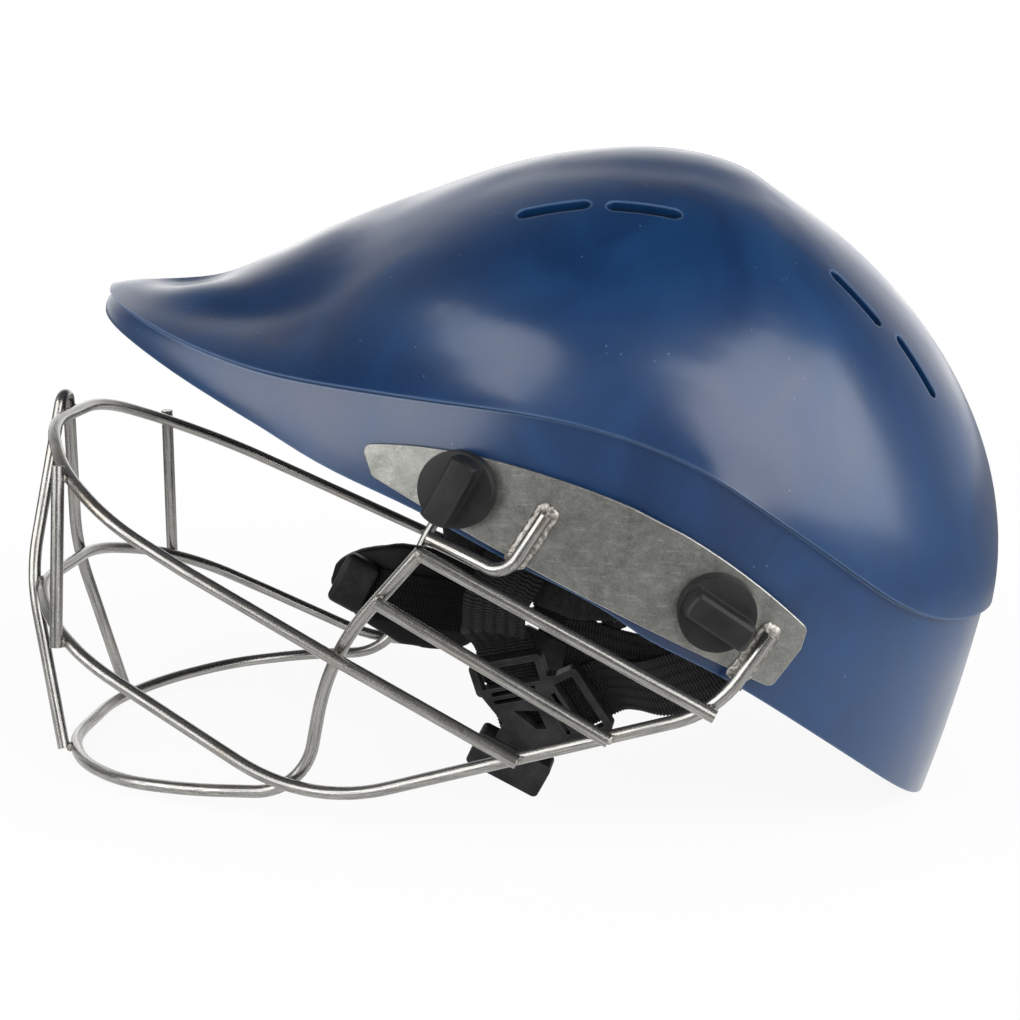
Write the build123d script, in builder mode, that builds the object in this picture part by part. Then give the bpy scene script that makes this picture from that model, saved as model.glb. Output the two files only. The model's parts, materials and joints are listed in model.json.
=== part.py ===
"""Cricket helmet with a peaked shell, padding, curved side plates, a welded wire faceguard,
four hand-turned clamp knobs and a webbing chin harness.

Everything is drawn upright, as worn: +Z up, the front towards -Y, the wearer's left towards +X,
with the origin on the crown axis at the height of the front rim. The finished pieces are then
tipped forward together, the way the helmet stands on its faceguard and the back of its rim,
and placed with the middle of their footprint at the origin.
"""
import os
from math import atan2, cos, degrees, hypot, radians, sin, sqrt, tan
from typing import NamedTuple

from build123d import *

# Shell
CROWN = 145.6
PEAK_REACH = 186.5
NAPE_REACH = 145.5
HALF_WIDTH = 112.0
WALL = 3.5
CREASE_STEP = 2.5
BAND_BULGE = 1.0
CROWN_HOLE = 3.0
CROWN_PLUG = 5.0
PLUG_SINK = 0.15
RAMP_HEIGHT = 14.0
VENT_LENGTH = 24.0
VENT_WIDTH = 5.6
FORWARD_TILT = 25.4

# Padding
LINER = 12.0
LINER_GAP = 0.8
LINER_RIM = 81.0
PAD = 10.0
FOAM_GAP = 1.0
STRAP_SPACE = 5.8
BROW_LOW = 32.0
BROW_TOP = 67.0
TEMPLE_TOP = 52.0
NAPE_LOW = -4.0
NAPE_TOP = 46.0

# Side plates
PLATE = 1.8
PLATE_RADIUS = 260.0
PLATE_CENTRE_Y = 12.0
PLATE_STAND = 1.634
PLATE_TOP = 45.0
PLATE_REACH = 80.0
PLATE_CORNER = 2.5
PLATE_HOLE = 6.8

# Clamps: tee nut, washer, screw and hand knob
FRONT_KNOB_Y = -35.3
REAR_KNOB_Y = 50.5
FRONT_KNOB_Z = 24.5
REAR_KNOB_Z = 28.5
STEM = 6.0
STEM_GAP = 0.05
FIT_GAP = 0.4
SEAT_GAP = 0.3
TEE_FLANGE = 17.0
TEE_PLATE = 1.2
TEE_BARREL = 9.0
FLANGE_SLACK = 0.8
WASHER = 15.0
WASHER_GAP = 0.15
WASHER_SLACK = 0.8
KNOB = 24.0
KNOB_RIM = 5.0
KNOB_GRIP = 8.0
KNOB_SOCKET = 7.0
GRIP_WIDTH = 8.5
GRIP_ROUND = 1.0
FRONT_GRIP_TURN = -18.0
REAR_GRIP_TURN = 58.0

# Faceguard
WIRE = 4.4
WELD_GAP = 0.2
WIRE_STEP = WIRE + WELD_GAP
BEND_LIMIT = 80.0
GUARD_HALF_WIDTH = 104.0
GUARD_REACH = 180.0
GUARD_DROP = 148.0

# Straps and their rivets
WEBBING = 20.0
WEBBING_THICK = 1.6
WEBBING_STEPS = 3
STRAP_GAP = 1.0
STRAP_SWING = 2.0
STRAP_TOP = 30.0
FRONT_STRAP_Y = -12.8
REAR_STRAP_Y = 68.5
RIM_CLEAR = 8.0
RIVET_Z = 21.0
RIVET_HEAD = 9.0
RIVET_STEM = 4.0
RIVET_DOME = 1.0
RIVET_SEAT = 0.6
TAIL_GAP = 0.5

# Strap dividers
DIVIDER_THICK = 4.5
DIVIDER_X = 70.0
DIVIDER_Y = 18.0
DIVIDER_Z = -42.5
DIVIDER_LEAN = 12.0
DIVIDER_SPAN = 25.0
DIVIDER_CORNER = 1.8
LOOP_BAR = 2.4
SLOT_WIDTH = 7.2
SLOT_SPARE = 0.6
RUNG = 1.3
SLIT = 1.7
FOOT_LENGTH = 27.0
FOOT_HEIGHT = 13.0
FOOT_THICK = 8.0
MOUTH_DEPTH = 9.0
MOUTH_WALL = 1.8

# Chin cup and buckle plug
CUP_RADIUS = 62.0
CUP_WALL = 5.0
CUP_LENGTH = 62.0
CUP_HEIGHT = 40.0
CUP_CORNER = 15.0
CUP_GAP = 1.2
CUP_LEAN = 18.0
CUP_X = -31.0
CUP_Y = -40.0
CUP_Z = -56.0
PLUG_WIDTH = 22.0
PLUG_BODY = 13.0
PLUG_THICK = 5.0
PLUG_CORNER = 2.0
PRONG = 12.0
PRONG_WIDTH = 4.0

CLAMPS = [(FRONT_KNOB_Y, FRONT_KNOB_Z), (REAR_KNOB_Y, REAR_KNOB_Z)]
STRAP_YS = [FRONT_STRAP_Y, REAR_STRAP_Y]
LINER_AZIMUTHS = [-15, 0, 15, 30, 45, 60, 75, 90, 105, 120, 135, 150, 165, 180, 195]
BROW_AZIMUTHS = [-50, -35, -18, 0, 18, 35, 50]
NAPE_AZIMUTHS = [150, 160, 170, 180, 190, 200, 210]

# Temple pads: azimuth and the low edge as a share of TEMPLE_TOP.
TEMPLE_SHARES = [(66, 0.16), (76, -0.02), (86, -0.06), (96, -0.05), (106, 0.08), (115, 0.36)]

# Side plate's outline, as shares of PLATE_REACH aft and of PLATE_TOP up.
PLATE_TOP_SHARES = [
    (-0.869, 0.449), (-0.541, 0.736), (-0.124, 0.931), (0.250, 1.005), (0.598, 0.958), (0.985, 0.785)]
PLATE_TAIL_SHARES = [(1.003, 0.640), (0.975, 0.300)]
PLATE_NOSE_SHARES = [(-0.775, 0.298)]

# Way of each strap from the rim to its loop: shares of HALF_WIDTH, of PEAK_REACH aft and CROWN up.
FRONT_STRAP_SHARES = [(0.893, -0.052, -0.027), (0.821, -0.034, -0.103)]
REAR_STRAP_SHARES = [(0.845, 0.295, 0.000), (0.782, 0.262, -0.060)]
FRONT_LEAN_SHARE = -0.25
REAR_LEAN_SHARE = 0.6

# Steps of a strap behind its loop, as shares of the loop's half width.
LOOP_STEP_SHARES = (-2.9, -1.6, -1.0, 0.0, 1.2)

# Divider: middles of its strap loops, outline, window and foot as shares of DIVIDER_SPAN.
LOOP_SHARES = [(-0.492, 0.420), (0.516, 0.528)]
LOOP_TURNS = [42, -32]
DIVIDER_SHARES = [
    (-0.98, 0.30), (-0.66, -0.06), (-0.25, -0.26), (-0.24, -0.62), (0.42, -0.62), (0.42, -0.42), (1.00, 0.22),
    (0.56, 0.50), (0.04, 0.74), (-0.50, 0.42)]
WINDOW_SHARES = [(-0.22, -0.02), (0.08, 0.17), (0.30, -0.02), (0.18, -0.10)]
FOOT_SHARE = (0.14, -0.76)

# Way of the chin strap: up in the foot's mouth and out of it, then a swing aside, as shares of
# MOUTH_DEPTH, and last along the cup, as shares of CUP_LENGTH.
MOUTH_SHARES = (0.6, -0.3)
SWING_SHARES = (-1.2, -1.2, -0.2)
ON_CUP_SHARES = (0.5, 0.3, 0.1, -0.1, -0.3, -0.5, -0.62)

# Middles of the vent slots of one side: shares of HALF_WIDTH and, from the crown axis, of PEAK_REACH.
VENT_SHARES = [(0.613, -0.276), (0.621, -0.138), (0.475, 0.257), (0.431, 0.409)]


class Station(NamedTuple):
    """A section of the shell: radii are shares of the reach at its azimuth, heights of CROWN."""

    azimuth: float
    crease_share: float
    crease_height_share: float
    rim_share: float
    rim_height_share: float
    dome_share: float
    dome_height_share: float
    fullness: float


STATION_SHARES = [
    Station(0, 1.000, 0.041, 0.992, -0.007, 0.633, 0.288, 1.60),
    Station(12, 0.946, 0.059, 0.936, 0.002, 0.638, 0.289, 1.63),
    Station(24, 0.868, 0.094, 0.850, 0.014, 0.658, 0.299, 1.72),
    Station(36, 0.829, 0.148, 0.811, 0.031, 0.693, 0.316, 1.80),
    Station(50, 0.838, 0.231, 0.824, 0.044, 0.763, 0.355, 1.87),
    Station(66, 0.908, 0.323, 0.883, 0.069, 0.879, 0.391, 1.95),
    Station(78, 0.968, 0.385, 0.936, 0.073, 0.957, 0.410, 2.02),
    Station(90, 0.994, 0.426, 0.961, 0.076, 0.994, 0.426, 2.05),
    Station(110, 1.008, 0.440, 0.984, 0.069, 1.012, 0.375, 2.05),
    Station(130, 1.003, 0.386, 1.006, 0.042, 1.020, 0.240, 2.05),
    Station(150, 0.996, 0.343, 1.035, -0.027, 1.020, 0.155, 2.03),
    Station(165, 0.996, 0.366, 1.069, -0.090, 1.026, 0.171, 1.99),
    Station(180, 1.000, 0.385, 1.089, -0.113, 1.034, 0.181, 1.97),
]
SHELL_AZIMUTHS = [-7, 0, 7, 14, 20, 25, 30, 36, 44, 54, 65, 77, 90, 104, 118, 132, 146, 158, 169, 180, 187]

# The peak's foot, from the dome out to the crease: shares of the way out and of the drop.
BRIM_SHARES = [(0.16, 0.29), (0.32, 0.51), (0.51, 0.69), (0.72, 0.83), (0.90, 0.93)]
BRIM_CUT = 0.05
BRIM_SPREAD = 1.5

# The raised ramp that runs from the crown into the peak: distance ahead of the crown axis
# as a share of PEAK_REACH, half width as a share of HALF_WIDTH, height as a share of RAMP_HEIGHT.
RAMP_SHARES = [
    (-0.10, 0.22, 0.00),
    (0.00, 0.30, 0.10),
    (0.09, 0.35, 0.14),
    (0.25, 0.38, 0.16),
    (0.37, 0.36, 0.15),
    (0.45, 0.38, 0.14),
    (0.51, 0.43, 0.18),
    (0.56, 0.455, 0.40),
    (0.625, 0.44, 1.00),
    (0.70, 0.41, 1.00),
    (0.78, 0.385, 0.52),
    (0.87, 0.31, 0.26),
    (0.96, 0.20, 0.12),
    (1.02, 0.15, 0.00),
]


def hermite(keys, values, at):
    """Smooth curve through the values at the keys, level at both ends."""
    at = min(max(at, keys[0]), keys[-1])
    i = max(k for k in range(len(keys) - 1) if keys[k] <= at)
    slopes = []
    for k in (i, i + 1):
        inside = 0 < k < len(keys) - 1
        slopes.append((values[k + 1] - values[k - 1]) / (keys[k + 1] - keys[k - 1]) if inside else 0)
    span = keys[i + 1] - keys[i]
    t = (at - keys[i]) / span
    start = (2 * t**3 - 3 * t**2 + 1) * values[i] + (t**3 - 2 * t**2 + t) * span * slopes[0]
    end = (3 * t**2 - 2 * t**3) * values[i + 1] + (t**3 - t**2) * span * slopes[1]
    return start + end


def station(azimuth):
    """The section of the shell at any azimuth; the back half mirrors past 180 degrees."""
    folded = abs(azimuth) if azimuth <= 180 else 360 - azimuth
    keys = [row.azimuth for row in STATION_SHARES]
    columns = list(zip(*STATION_SHARES))
    return Station(folded, *[hermite(keys, column, folded) for column in columns[1:]])


def reach(azimuth):
    """Plan radius of an ellipse-like outline through the peak, the sides and the nape."""
    end = PEAK_REACH if azimuth < 90 else NAPE_REACH
    return hypot(HALF_WIDTH * sin(radians(azimuth)), end * cos(radians(azimuth)))


def ramp_rise(x, ahead):
    """Height of the central ramp over the dome."""
    keys = [row[0] * PEAK_REACH for row in RAMP_SHARES]
    if not keys[0] < ahead < keys[-1]:
        return 0
    half_width = HALF_WIDTH * hermite(keys, [row[1] for row in RAMP_SHARES], ahead)
    height = RAMP_HEIGHT * hermite(keys, [row[2] for row in RAMP_SHARES], ahead)
    share = abs(x) / half_width
    return height * (1 - share**3) if share < 1 else 0


def dome_height(azimuth, radius):
    """Height of the plain dome at a radius from the crown axis."""
    s = station(azimuth)
    base = CROWN * s.dome_height_share
    share = min(1, radius / (s.dome_share * reach(s.azimuth)))
    return base + (CROWN - base) * (1 - share**s.fullness) ** (1 / s.fullness)


def dome_radius(azimuth, height):
    """Radius of the plain dome at a height."""
    s = station(azimuth)
    base = CROWN * s.dome_height_share
    share = max(0, (height - base) / (CROWN - base))
    return s.dome_share * reach(s.azimuth) * (1 - share**s.fullness) ** (1 / s.fullness)


def cap_curve(azimuth, steps=40):
    """Points (radius, height) down the outside of the cap, from the crown to the crease."""
    s = station(azimuth)
    crease = s.crease_share * reach(s.azimuth)
    crease_height = s.crease_height_share * CROWN
    dome = s.dome_share * reach(s.azimuth)
    peak_side = max(0, min(1, BRIM_SPREAD * (90 - s.azimuth) / 90))
    end = (1 - BRIM_CUT * peak_side) * min(1, crease / dome)
    points = []
    for i in range(steps + 1):
        radius = CROWN_HOLE + (dome * end - CROWN_HOLE) * sin(radians(90 * i / steps))
        points.append((radius, dome_height(azimuth, radius)))
    foot = points[-1]
    if peak_side:
        for out_share, drop_share in BRIM_SHARES + [(1, 1)]:
            out = foot[0] + out_share * (crease - foot[0])
            points.append((out, foot[1] + drop_share * (crease_height - foot[1])))
    turn = radians(s.azimuth)
    return [(r, z + ramp_rise(r * sin(turn), r * cos(turn))) for r, z in points]


def band(azimuth):
    """Step under the crease, bulge and rim of the side band, as (radius, height) points."""
    s = station(azimuth)
    crease = cap_curve(azimuth)[-1]
    step = (crease[0] - CREASE_STEP, crease[1] - CREASE_STEP / 4)
    rim = (s.rim_share * reach(s.azimuth), s.rim_height_share * CROWN)
    middle = ((step[0] + rim[0]) / 2 + BAND_BULGE, (step[1] + rim[1]) / 2)
    return step, middle, rim


def band_x(y, height):
    """Half width of the band's outside at a place fore or aft and a height."""
    x = HALF_WIDTH
    for _ in range(12):
        step, middle, rim = band(degrees(atan2(x, -y)))
        share = (step[1] - height) / (step[1] - rim[1])
        radius = step[0] + share * (rim[0] - step[0]) + 4 * BAND_BULGE * share * (1 - share)
        x = sqrt(radius**2 - y**2)
    return x


def inner_radius(azimuth, height):
    """Radius of the shell's inside at a height, with the peak taken as a straight wall."""
    step, middle, rim = band(azimuth)
    if azimuth < 60 or height > step[1]:
        s = station(azimuth)
        return dome_radius(azimuth, max(height, (s.dome_height_share + BRIM_CUT) * CROWN)) - WALL
    share = max(0, min(1, (step[1] - height) / (step[1] - rim[1])))
    return step[0] + share * (rim[0] - step[0]) + 4 * BAND_BULGE * share * (1 - share) - WALL


def inset(curve, depth):
    """The same curve moved inwards by a depth, square to itself."""
    moved = []
    for i, (radius, height) in enumerate(curve):
        before = curve[max(i - 1, 0)]
        after = curve[min(i + 1, len(curve) - 1)]
        run = after[0] - before[0]
        rise = after[1] - before[1]
        length = hypot(run, rise)
        moved.append((radius + depth * rise / length, height - depth * run / length))
    return moved


def resample(curve, count):
    """Evenly spaced points along a curve."""
    lengths = [0]
    for a, b in zip(curve, curve[1:]):
        lengths.append(lengths[-1] + hypot(b[0] - a[0], b[1] - a[1]))
    points = []
    for i in range(count):
        at = lengths[-1] * i / (count - 1)
        k = max(j for j in range(len(curve) - 1) if lengths[j] <= at)
        t = (at - lengths[k]) / (lengths[k + 1] - lengths[k])
        points.append(tuple(a + t * (b - a) for a, b in zip(curve[k], curve[k + 1])))
    return points


def cut_at_radius(curve, radius):
    """The part of a curve that lies inside a radius, ended on it."""
    kept = [point for point in curve if point[0] < radius]
    if len(kept) == len(curve):
        return kept
    a = kept[-1]
    b = curve[len(kept)]
    t = (radius - a[0]) / (b[0] - a[0])
    return kept + [(radius, a[1] + t * (b[1] - a[1]))]


def cut_at_height(curve, height):
    """The part of a falling curve above a height, ended on it."""
    kept = [point for point in curve if point[1] > height]
    a = kept[-1]
    b = curve[len(kept)]
    t = (height - a[1]) / (b[1] - a[1])
    return kept + [(a[0] + t * (b[0] - a[0]), height)]


def surface_height(x, y):
    """Height of the cap's outside over a place in plan."""
    azimuth = degrees(atan2(abs(x), -y))
    return dome_height(azimuth, hypot(x, y)) + ramp_rise(x, -y)


def surface_plane(x, y):
    """Plane that touches the cap over a place in plan, its x axis running fore and aft."""
    d = WALL
    slope_x = (surface_height(x + d, y) - surface_height(x - d, y)) / (2 * d)
    slope_y = (surface_height(x, y + d) - surface_height(x, y - d)) / (2 * d)
    return Plane(origin=(x, y, surface_height(x, y)), x_dir=(0, 1, slope_y), z_dir=(-slope_x, -slope_y, 1))


def section_plane(azimuth):
    """Upright plane through the crown axis, its x axis pointing outwards at the azimuth."""
    turn = radians(azimuth)
    return Plane(origin=(0, 0, 0), x_dir=(sin(turn), -cos(turn), 0), z_dir=(-cos(turn), -sin(turn), 0))


def even_spline(points):
    """Spline through points spaced evenly, so that neighbouring sections share their knots."""
    even = [i / (len(points) - 1) for i in range(len(points))]
    add(Edge.make_spline([Vector(*point) for point in points], parameters=even))


def plate_axis_x():
    """Place of the left plate's axis that holds the plate off the band at the front clamp."""
    sweep_x = sqrt(PLATE_RADIUS**2 - (FRONT_KNOB_Y - PLATE_CENTRE_Y) ** 2)
    return band_x(FRONT_KNOB_Y, FRONT_KNOB_Z) + PLATE_STAND - sweep_x


PLATE_AXIS_X = plate_axis_x()


def plate_x(y, depth=0):
    """Half width at a depth outside the side plates' inner face, fore or aft."""
    return PLATE_AXIS_X + sqrt((PLATE_RADIUS + depth) ** 2 - (y - PLATE_CENTRE_Y) ** 2)


def plate_plane(y, z, depth):
    """Plane square to the left side plate, a depth outside its inner face, its x axis up."""
    lean = (y - PLATE_CENTRE_Y) / PLATE_RADIUS
    normal = Vector(sqrt(1 - lean**2), lean, 0)
    axis = Vector(PLATE_AXIS_X, PLATE_CENTRE_Y, z)
    return Plane(origin=axis + normal * (PLATE_RADIUS + depth), x_dir=(0, 0, 1), z_dir=normal)


def bend_radii(points):
    """Bend radius at each corner of a wire, as large as its runs allow up to a limit."""
    corners = [Vector(*point) for point in points]
    radii = []
    for before, corner, after in zip(corners, corners[1:], corners[2:]):
        turn = radians((corner - before).get_angle(after - corner))
        run = min((corner - before).length, (after - corner).length)
        radii.append(min(BEND_LIMIT, 0.45 * run / tan(turn / 2)))
    return radii


def bent_wire(points):
    """Round wire bent along the points."""
    with BuildPart() as wire:
        with BuildLine() as path:
            if len(points) == 2:
                Line(*points)
            else:
                FilletPolyline(*points, radius=bend_radii(points))
        with BuildSketch(Plane(origin=path.line @ 0, z_dir=path.line % 0)):
            Circle(WIRE / 2)
        sweep(path=path.line)
    return wire.part


def guard(*shares):
    """Places of the faceguard from shares of its half width, reach and drop."""
    return [(x * GUARD_HALF_WIDTH, -y * GUARD_REACH, -z * GUARD_DROP) for x, y, z in shares]


def between(a, b, height):
    """The place at a height on the run between two places."""
    share = (height - a[2]) / (b[2] - a[2])
    return tuple(start + share * (end - start) for start, end in zip(a, b))


def outwards(place, step):
    """The same place further from the middle of the helmet."""
    return (place[0] + step, place[1], place[2])


def both_sides(points):
    """Points of a wire's left half carried on through its mirrored right half."""
    return points + [(-x, y, z) for x, y, z in reversed(points)]


def band_place(y, z, lean_share):
    """Centre of webbing laid inside the shell's band, and the direction of its width."""
    slope = (band_x(y + WEBBING / 4, z) - band_x(y - WEBBING / 4, z)) / (WEBBING / 2)
    return (band_x(y, z) - WALL - STRAP_GAP - WEBBING_THICK / 2, y, z), (slope, 1, -lean_share)


def webbing(places):
    """Strip of webbing through places, each a centre and the direction of its width."""
    centres = [Vector(centre) for centre, across in places]
    widths = [Vector(across) for centre, across in places]
    path = Edge.make_spline(centres)
    stations = [path.param_at_point(centre) for centre in centres]
    with BuildPart() as strip:
        for i in range(len(places) - 1):
            last = i == len(places) - 2
            for k in range(WEBBING_STEPS + last):
                share = k / WEBBING_STEPS
                at = stations[i] + share * (stations[i + 1] - stations[i])
                across = widths[i] * (1 - share) + widths[i + 1] * share
                with BuildSketch(Plane(origin=path @ at, x_dir=across, z_dir=path % at)):
                    Rectangle(WEBBING, WEBBING_THICK)
        loft(ruled=True)
    return strip.part


def pad_section(azimuth, low, high, gap, thick):
    """Closed profile of a pad at an azimuth, against the shell's inside."""
    outer = [(inner_radius(azimuth, z) - gap, z) for z in (low, (low + high) / 2, high)]
    inner = [(radius - thick, z) for radius, z in outer]
    with BuildSketch(section_plane(azimuth)) as section:
        with BuildLine():
            ThreePointArc(*outer)
            Line(outer[-1], inner[-1])
            ThreePointArc(*reversed(inner))
            Line(inner[0], outer[0])
        make_face()
    return section.sketch


# Moulded shell: a closed wall section at each azimuth, lofted round one side and mirrored.
with BuildPart() as shell:
    for azimuth in SHELL_AZIMUTHS:
        outside = cap_curve(azimuth)
        step, middle, rim = band(azimuth)
        inner_rim = (rim[0] - WALL, rim[1])
        inner_middle = (middle[0] - WALL, middle[1])
        inside = cut_at_radius(inset(outside, WALL), min(step[0], outside[-1][0]) - WALL)
        inside[0] = (CROWN_HOLE, outside[0][1] - WALL)
        with BuildSketch(section_plane(azimuth)):
            with BuildLine():
                even_spline(resample(outside, 18))
                Line(outside[-1], step)
                ThreePointArc(step, middle, rim)
                Line(rim, inner_rim)
                ThreePointArc(inner_rim, inner_middle, inside[-1])
                even_spline(resample(inside, 18)[::-1])
                Line(inside[0], outside[0])
            make_face()
    loft()
    split(bisect_by=Plane.YZ, keep=Keep.TOP)
    for x_share, y_share in VENT_SHARES:
        with BuildSketch(surface_plane(x_share * HALF_WIDTH, y_share * PEAK_REACH)):
            SlotOverall(VENT_LENGTH, VENT_WIDTH)
        extrude(amount=2 * WALL, both=True, mode=Mode.SUBTRACT)
    for y, z in CLAMPS:
        with BuildSketch(plate_plane(y, z, 0)):
            Circle(TEE_BARREL / 2 + FIT_GAP)
        extrude(amount=-4 * WALL, mode=Mode.SUBTRACT)
    for y in STRAP_YS:
        with BuildSketch(plate_plane(y, RIVET_Z, 0)):
            Circle(RIVET_STEM / 2 + STEM_GAP)
        extrude(amount=-4 * WALL, mode=Mode.SUBTRACT)
    mirror(about=Plane.YZ)
    with BuildSketch(Plane.XY.offset(CROWN - WALL + PLUG_SINK)):
        Circle(CROWN_PLUG)
    extrude(amount=WALL - 2 * PLUG_SINK)


# Crown liner: foam that follows the dome's inside down to its own rim.
with BuildPart() as crown_liner:
    for azimuth in LINER_AZIMUTHS:
        steps = [CROWN_HOLE + i * WALL for i in range(int(NAPE_REACH / WALL))]
        dome = [(radius, dome_height(azimuth, radius)) for radius in steps]
        outer = resample(cut_at_height(inset(dome, WALL + LINER_GAP), LINER_RIM), 12)
        inner = resample(cut_at_height(inset(dome, WALL + LINER_GAP + LINER), LINER_RIM), 12)
        outer[0] = (CROWN_HOLE, outer[0][1])
        inner[0] = (CROWN_HOLE, inner[0][1])
        with BuildSketch(section_plane(azimuth)):
            with BuildLine():
                even_spline(outer)
                Line(outer[-1], inner[-1])
                even_spline(inner[::-1])
                Line(inner[0], outer[0])
            make_face()
    loft()
    split(bisect_by=Plane.YZ, keep=Keep.TOP)
    mirror(about=Plane.YZ)
    with BuildSketch(Plane.XY.offset(CROWN - WALL - LINER_GAP - LINER + PLUG_SINK)):
        Circle(CROWN_PLUG)
    extrude(amount=LINER - 2 * PLUG_SINK)

# Pads: brow, temples and nape, each a strip of foam against the shell's inside.
with BuildPart() as brow_pad:
    loft([pad_section(azimuth, BROW_LOW, BROW_TOP, FOAM_GAP, PAD) for azimuth in BROW_AZIMUTHS])

with BuildPart() as temple_pad:
    loft([
        pad_section(azimuth, low_share * TEMPLE_TOP, TEMPLE_TOP, STRAP_SPACE, PAD)
        for azimuth, low_share in TEMPLE_SHARES])

with BuildPart() as nape_pad:
    loft([pad_section(azimuth, NAPE_LOW, NAPE_TOP, FOAM_GAP, PAD) for azimuth in NAPE_AZIMUTHS])

# Side plate: a sheet curved about an upright axis, cut to its outline, with two clamp holes.
with BuildPart() as side_plate:
    with BuildSketch(Plane.XY):
        with Locations((PLATE_AXIS_X, PLATE_CENTRE_Y)):
            Circle(PLATE_RADIUS + PLATE)
            Circle(PLATE_RADIUS, mode=Mode.SUBTRACT)
    extrude(amount=PLATE_TOP)
    with BuildSketch(Plane.YZ):
        with BuildLine():
            top = [(y * PLATE_REACH, z * PLATE_TOP) for y, z in PLATE_TOP_SHARES]
            tail = [(y * PLATE_REACH, z * PLATE_TOP) for y, z in PLATE_TAIL_SHARES]
            nose = [(y * PLATE_REACH, z * PLATE_TOP) for y, z in PLATE_NOSE_SHARES]
            Spline(top)
            Polyline(top[-1], *tail, *nose, top[0])
        make_face()
        fillet(vertices(), PLATE_CORNER)
    extrude(amount=PLATE_RADIUS, mode=Mode.INTERSECT)
    for y, z in CLAMPS:
        with BuildSketch(plate_plane(y, z, 0)):
            Circle(PLATE_HOLE / 2)
        extrude(amount=2 * PLATE, both=True, mode=Mode.SUBTRACT)

# Clamps: tee nut in the shell, rubber washer under the plate, screw moulded in a hand knob.
with BuildPart() as tee_nuts:
    for y, z in CLAMPS:
        seat = band_x(y, z) - plate_x(y) - WALL - FLANGE_SLACK
        with BuildSketch(plate_plane(y, z, seat)):
            Circle(TEE_FLANGE / 2)
        extrude(amount=-TEE_PLATE)
        with BuildSketch(plate_plane(y, z, seat)):
            Circle(TEE_BARREL / 2)
        extrude(amount=-seat - SEAT_GAP)
        with BuildSketch(plate_plane(y, z, 0)):
            Circle(STEM / 2 + STEM_GAP)
        extrude(amount=2 * seat, mode=Mode.SUBTRACT)
    mirror(about=Plane.YZ)

with BuildPart() as rubber_washers:
    for y, z in CLAMPS:
        with BuildSketch(plate_plane(y, z, -WASHER_GAP)):
            Circle(WASHER / 2)
            Circle(TEE_BARREL / 2 + FIT_GAP, mode=Mode.SUBTRACT)
        extrude(amount=band_x(y, z) - plate_x(y) + WASHER_SLACK)
    mirror(about=Plane.YZ)


def hand_knob(y, z, turn):
    """Round knob with a raised finger bar and a socket for its screw."""
    with BuildPart() as knob:
        with BuildSketch(plate_plane(y, z, PLATE + SEAT_GAP)):
            Circle(KNOB / 2)
        extrude(amount=KNOB_RIM)
        with BuildSketch(plate_plane(y, z, PLATE + SEAT_GAP + KNOB_RIM)):
            Circle(KNOB / 2 - GRIP_ROUND)
            Rectangle(KNOB, GRIP_WIDTH, rotation=turn, mode=Mode.INTERSECT)
        extrude(amount=KNOB_GRIP)
        chamfer(faces().filter_by(plate_plane(y, z, 0)).sort_by(Axis.X)[-1].edges(), GRIP_ROUND)
        with BuildSketch(plate_plane(y, z, PLATE + SEAT_GAP)):
            Circle(STEM / 2 + STEM_GAP)
        extrude(amount=KNOB_SOCKET, mode=Mode.SUBTRACT)
    return knob.part


def knob_screw(y, z):
    """Screw from the knob's socket through the plate into the tee nut."""
    with BuildPart() as screw:
        with BuildSketch(plate_plane(y, z, PLATE + SEAT_GAP + KNOB_SOCKET - STEM_GAP)):
            Circle(STEM / 2)
        extrude(amount=band_x(y, z) - plate_x(y) - WALL - PLATE - SEAT_GAP - KNOB_SOCKET)
    return screw.part


# Strap rivets: a low head under the plate, a stem through shell and strap, a tail inside.
with BuildPart() as strap_rivets:
    for y in STRAP_YS:
        outer = band_x(y, RIVET_Z) - plate_x(y) + RIVET_SEAT
        inner = outer - RIVET_SEAT - WALL - 2 * STRAP_GAP - WEBBING_THICK - TAIL_GAP
        with BuildSketch(plate_plane(y, RIVET_Z, outer)):
            Circle(RIVET_HEAD / 2)
        extrude(amount=RIVET_DOME)
        with BuildSketch(plate_plane(y, RIVET_Z, outer)):
            Circle(RIVET_STEM / 2)
        extrude(amount=inner - outer)
        with BuildSketch(plate_plane(y, RIVET_Z, inner)):
            Circle(RIVET_HEAD / 2)
        extrude(amount=-RIVET_DOME)
    mirror(about=Plane.YZ)

# Faceguard rings. The first points are a ring's left end, the last its front.
strut_top, strut_bend, strut_foot = guard(
    (0.990, 0.208, 0.003), (0.864, 0.275, 0.336), (0.838, 0.201, 0.659))
rear_y = 0.386 * GUARD_REACH
rear_step = PLATE + WELD_GAP + WIRE / 2
rear_top = (plate_x(rear_y, rear_step), rear_y, 0.199 * GUARD_DROP)
rear_bend = (plate_x(0.367 * GUARD_REACH, rear_step), 0.367 * GUARD_REACH, -0.003 * GUARD_DROP)
rear_foot = guard((0.908, 0.183, 0.664))[0]

middle_wire = bent_wire(both_sides([rear_top, rear_bend, rear_foot] + guard(
    (0.779, 0.528, 0.662), (0.721, 0.678, 0.662), (0.558, 0.794, 0.662), (0.288, 0.878, 0.662))))
lower_wire = bent_wire(both_sides([strut_top, strut_bend, strut_foot] + guard(
    (0.806, 0.389, 0.789), (0.712, 0.522, 0.884), (0.500, 0.628, 0.960), (0.231, 0.689, 1.003))))
upper_end = outwards(between(rear_bend, rear_foot, -0.311 * GUARD_DROP), WIRE_STEP)
upper_wire = bent_wire(both_sides([upper_end] + guard(
    (0.926, 0.275, 0.323), (0.837, 0.578, 0.328), (0.769, 0.744, 0.328),
    (0.577, 0.889, 0.318), (0.269, 0.997, 0.294))))

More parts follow.
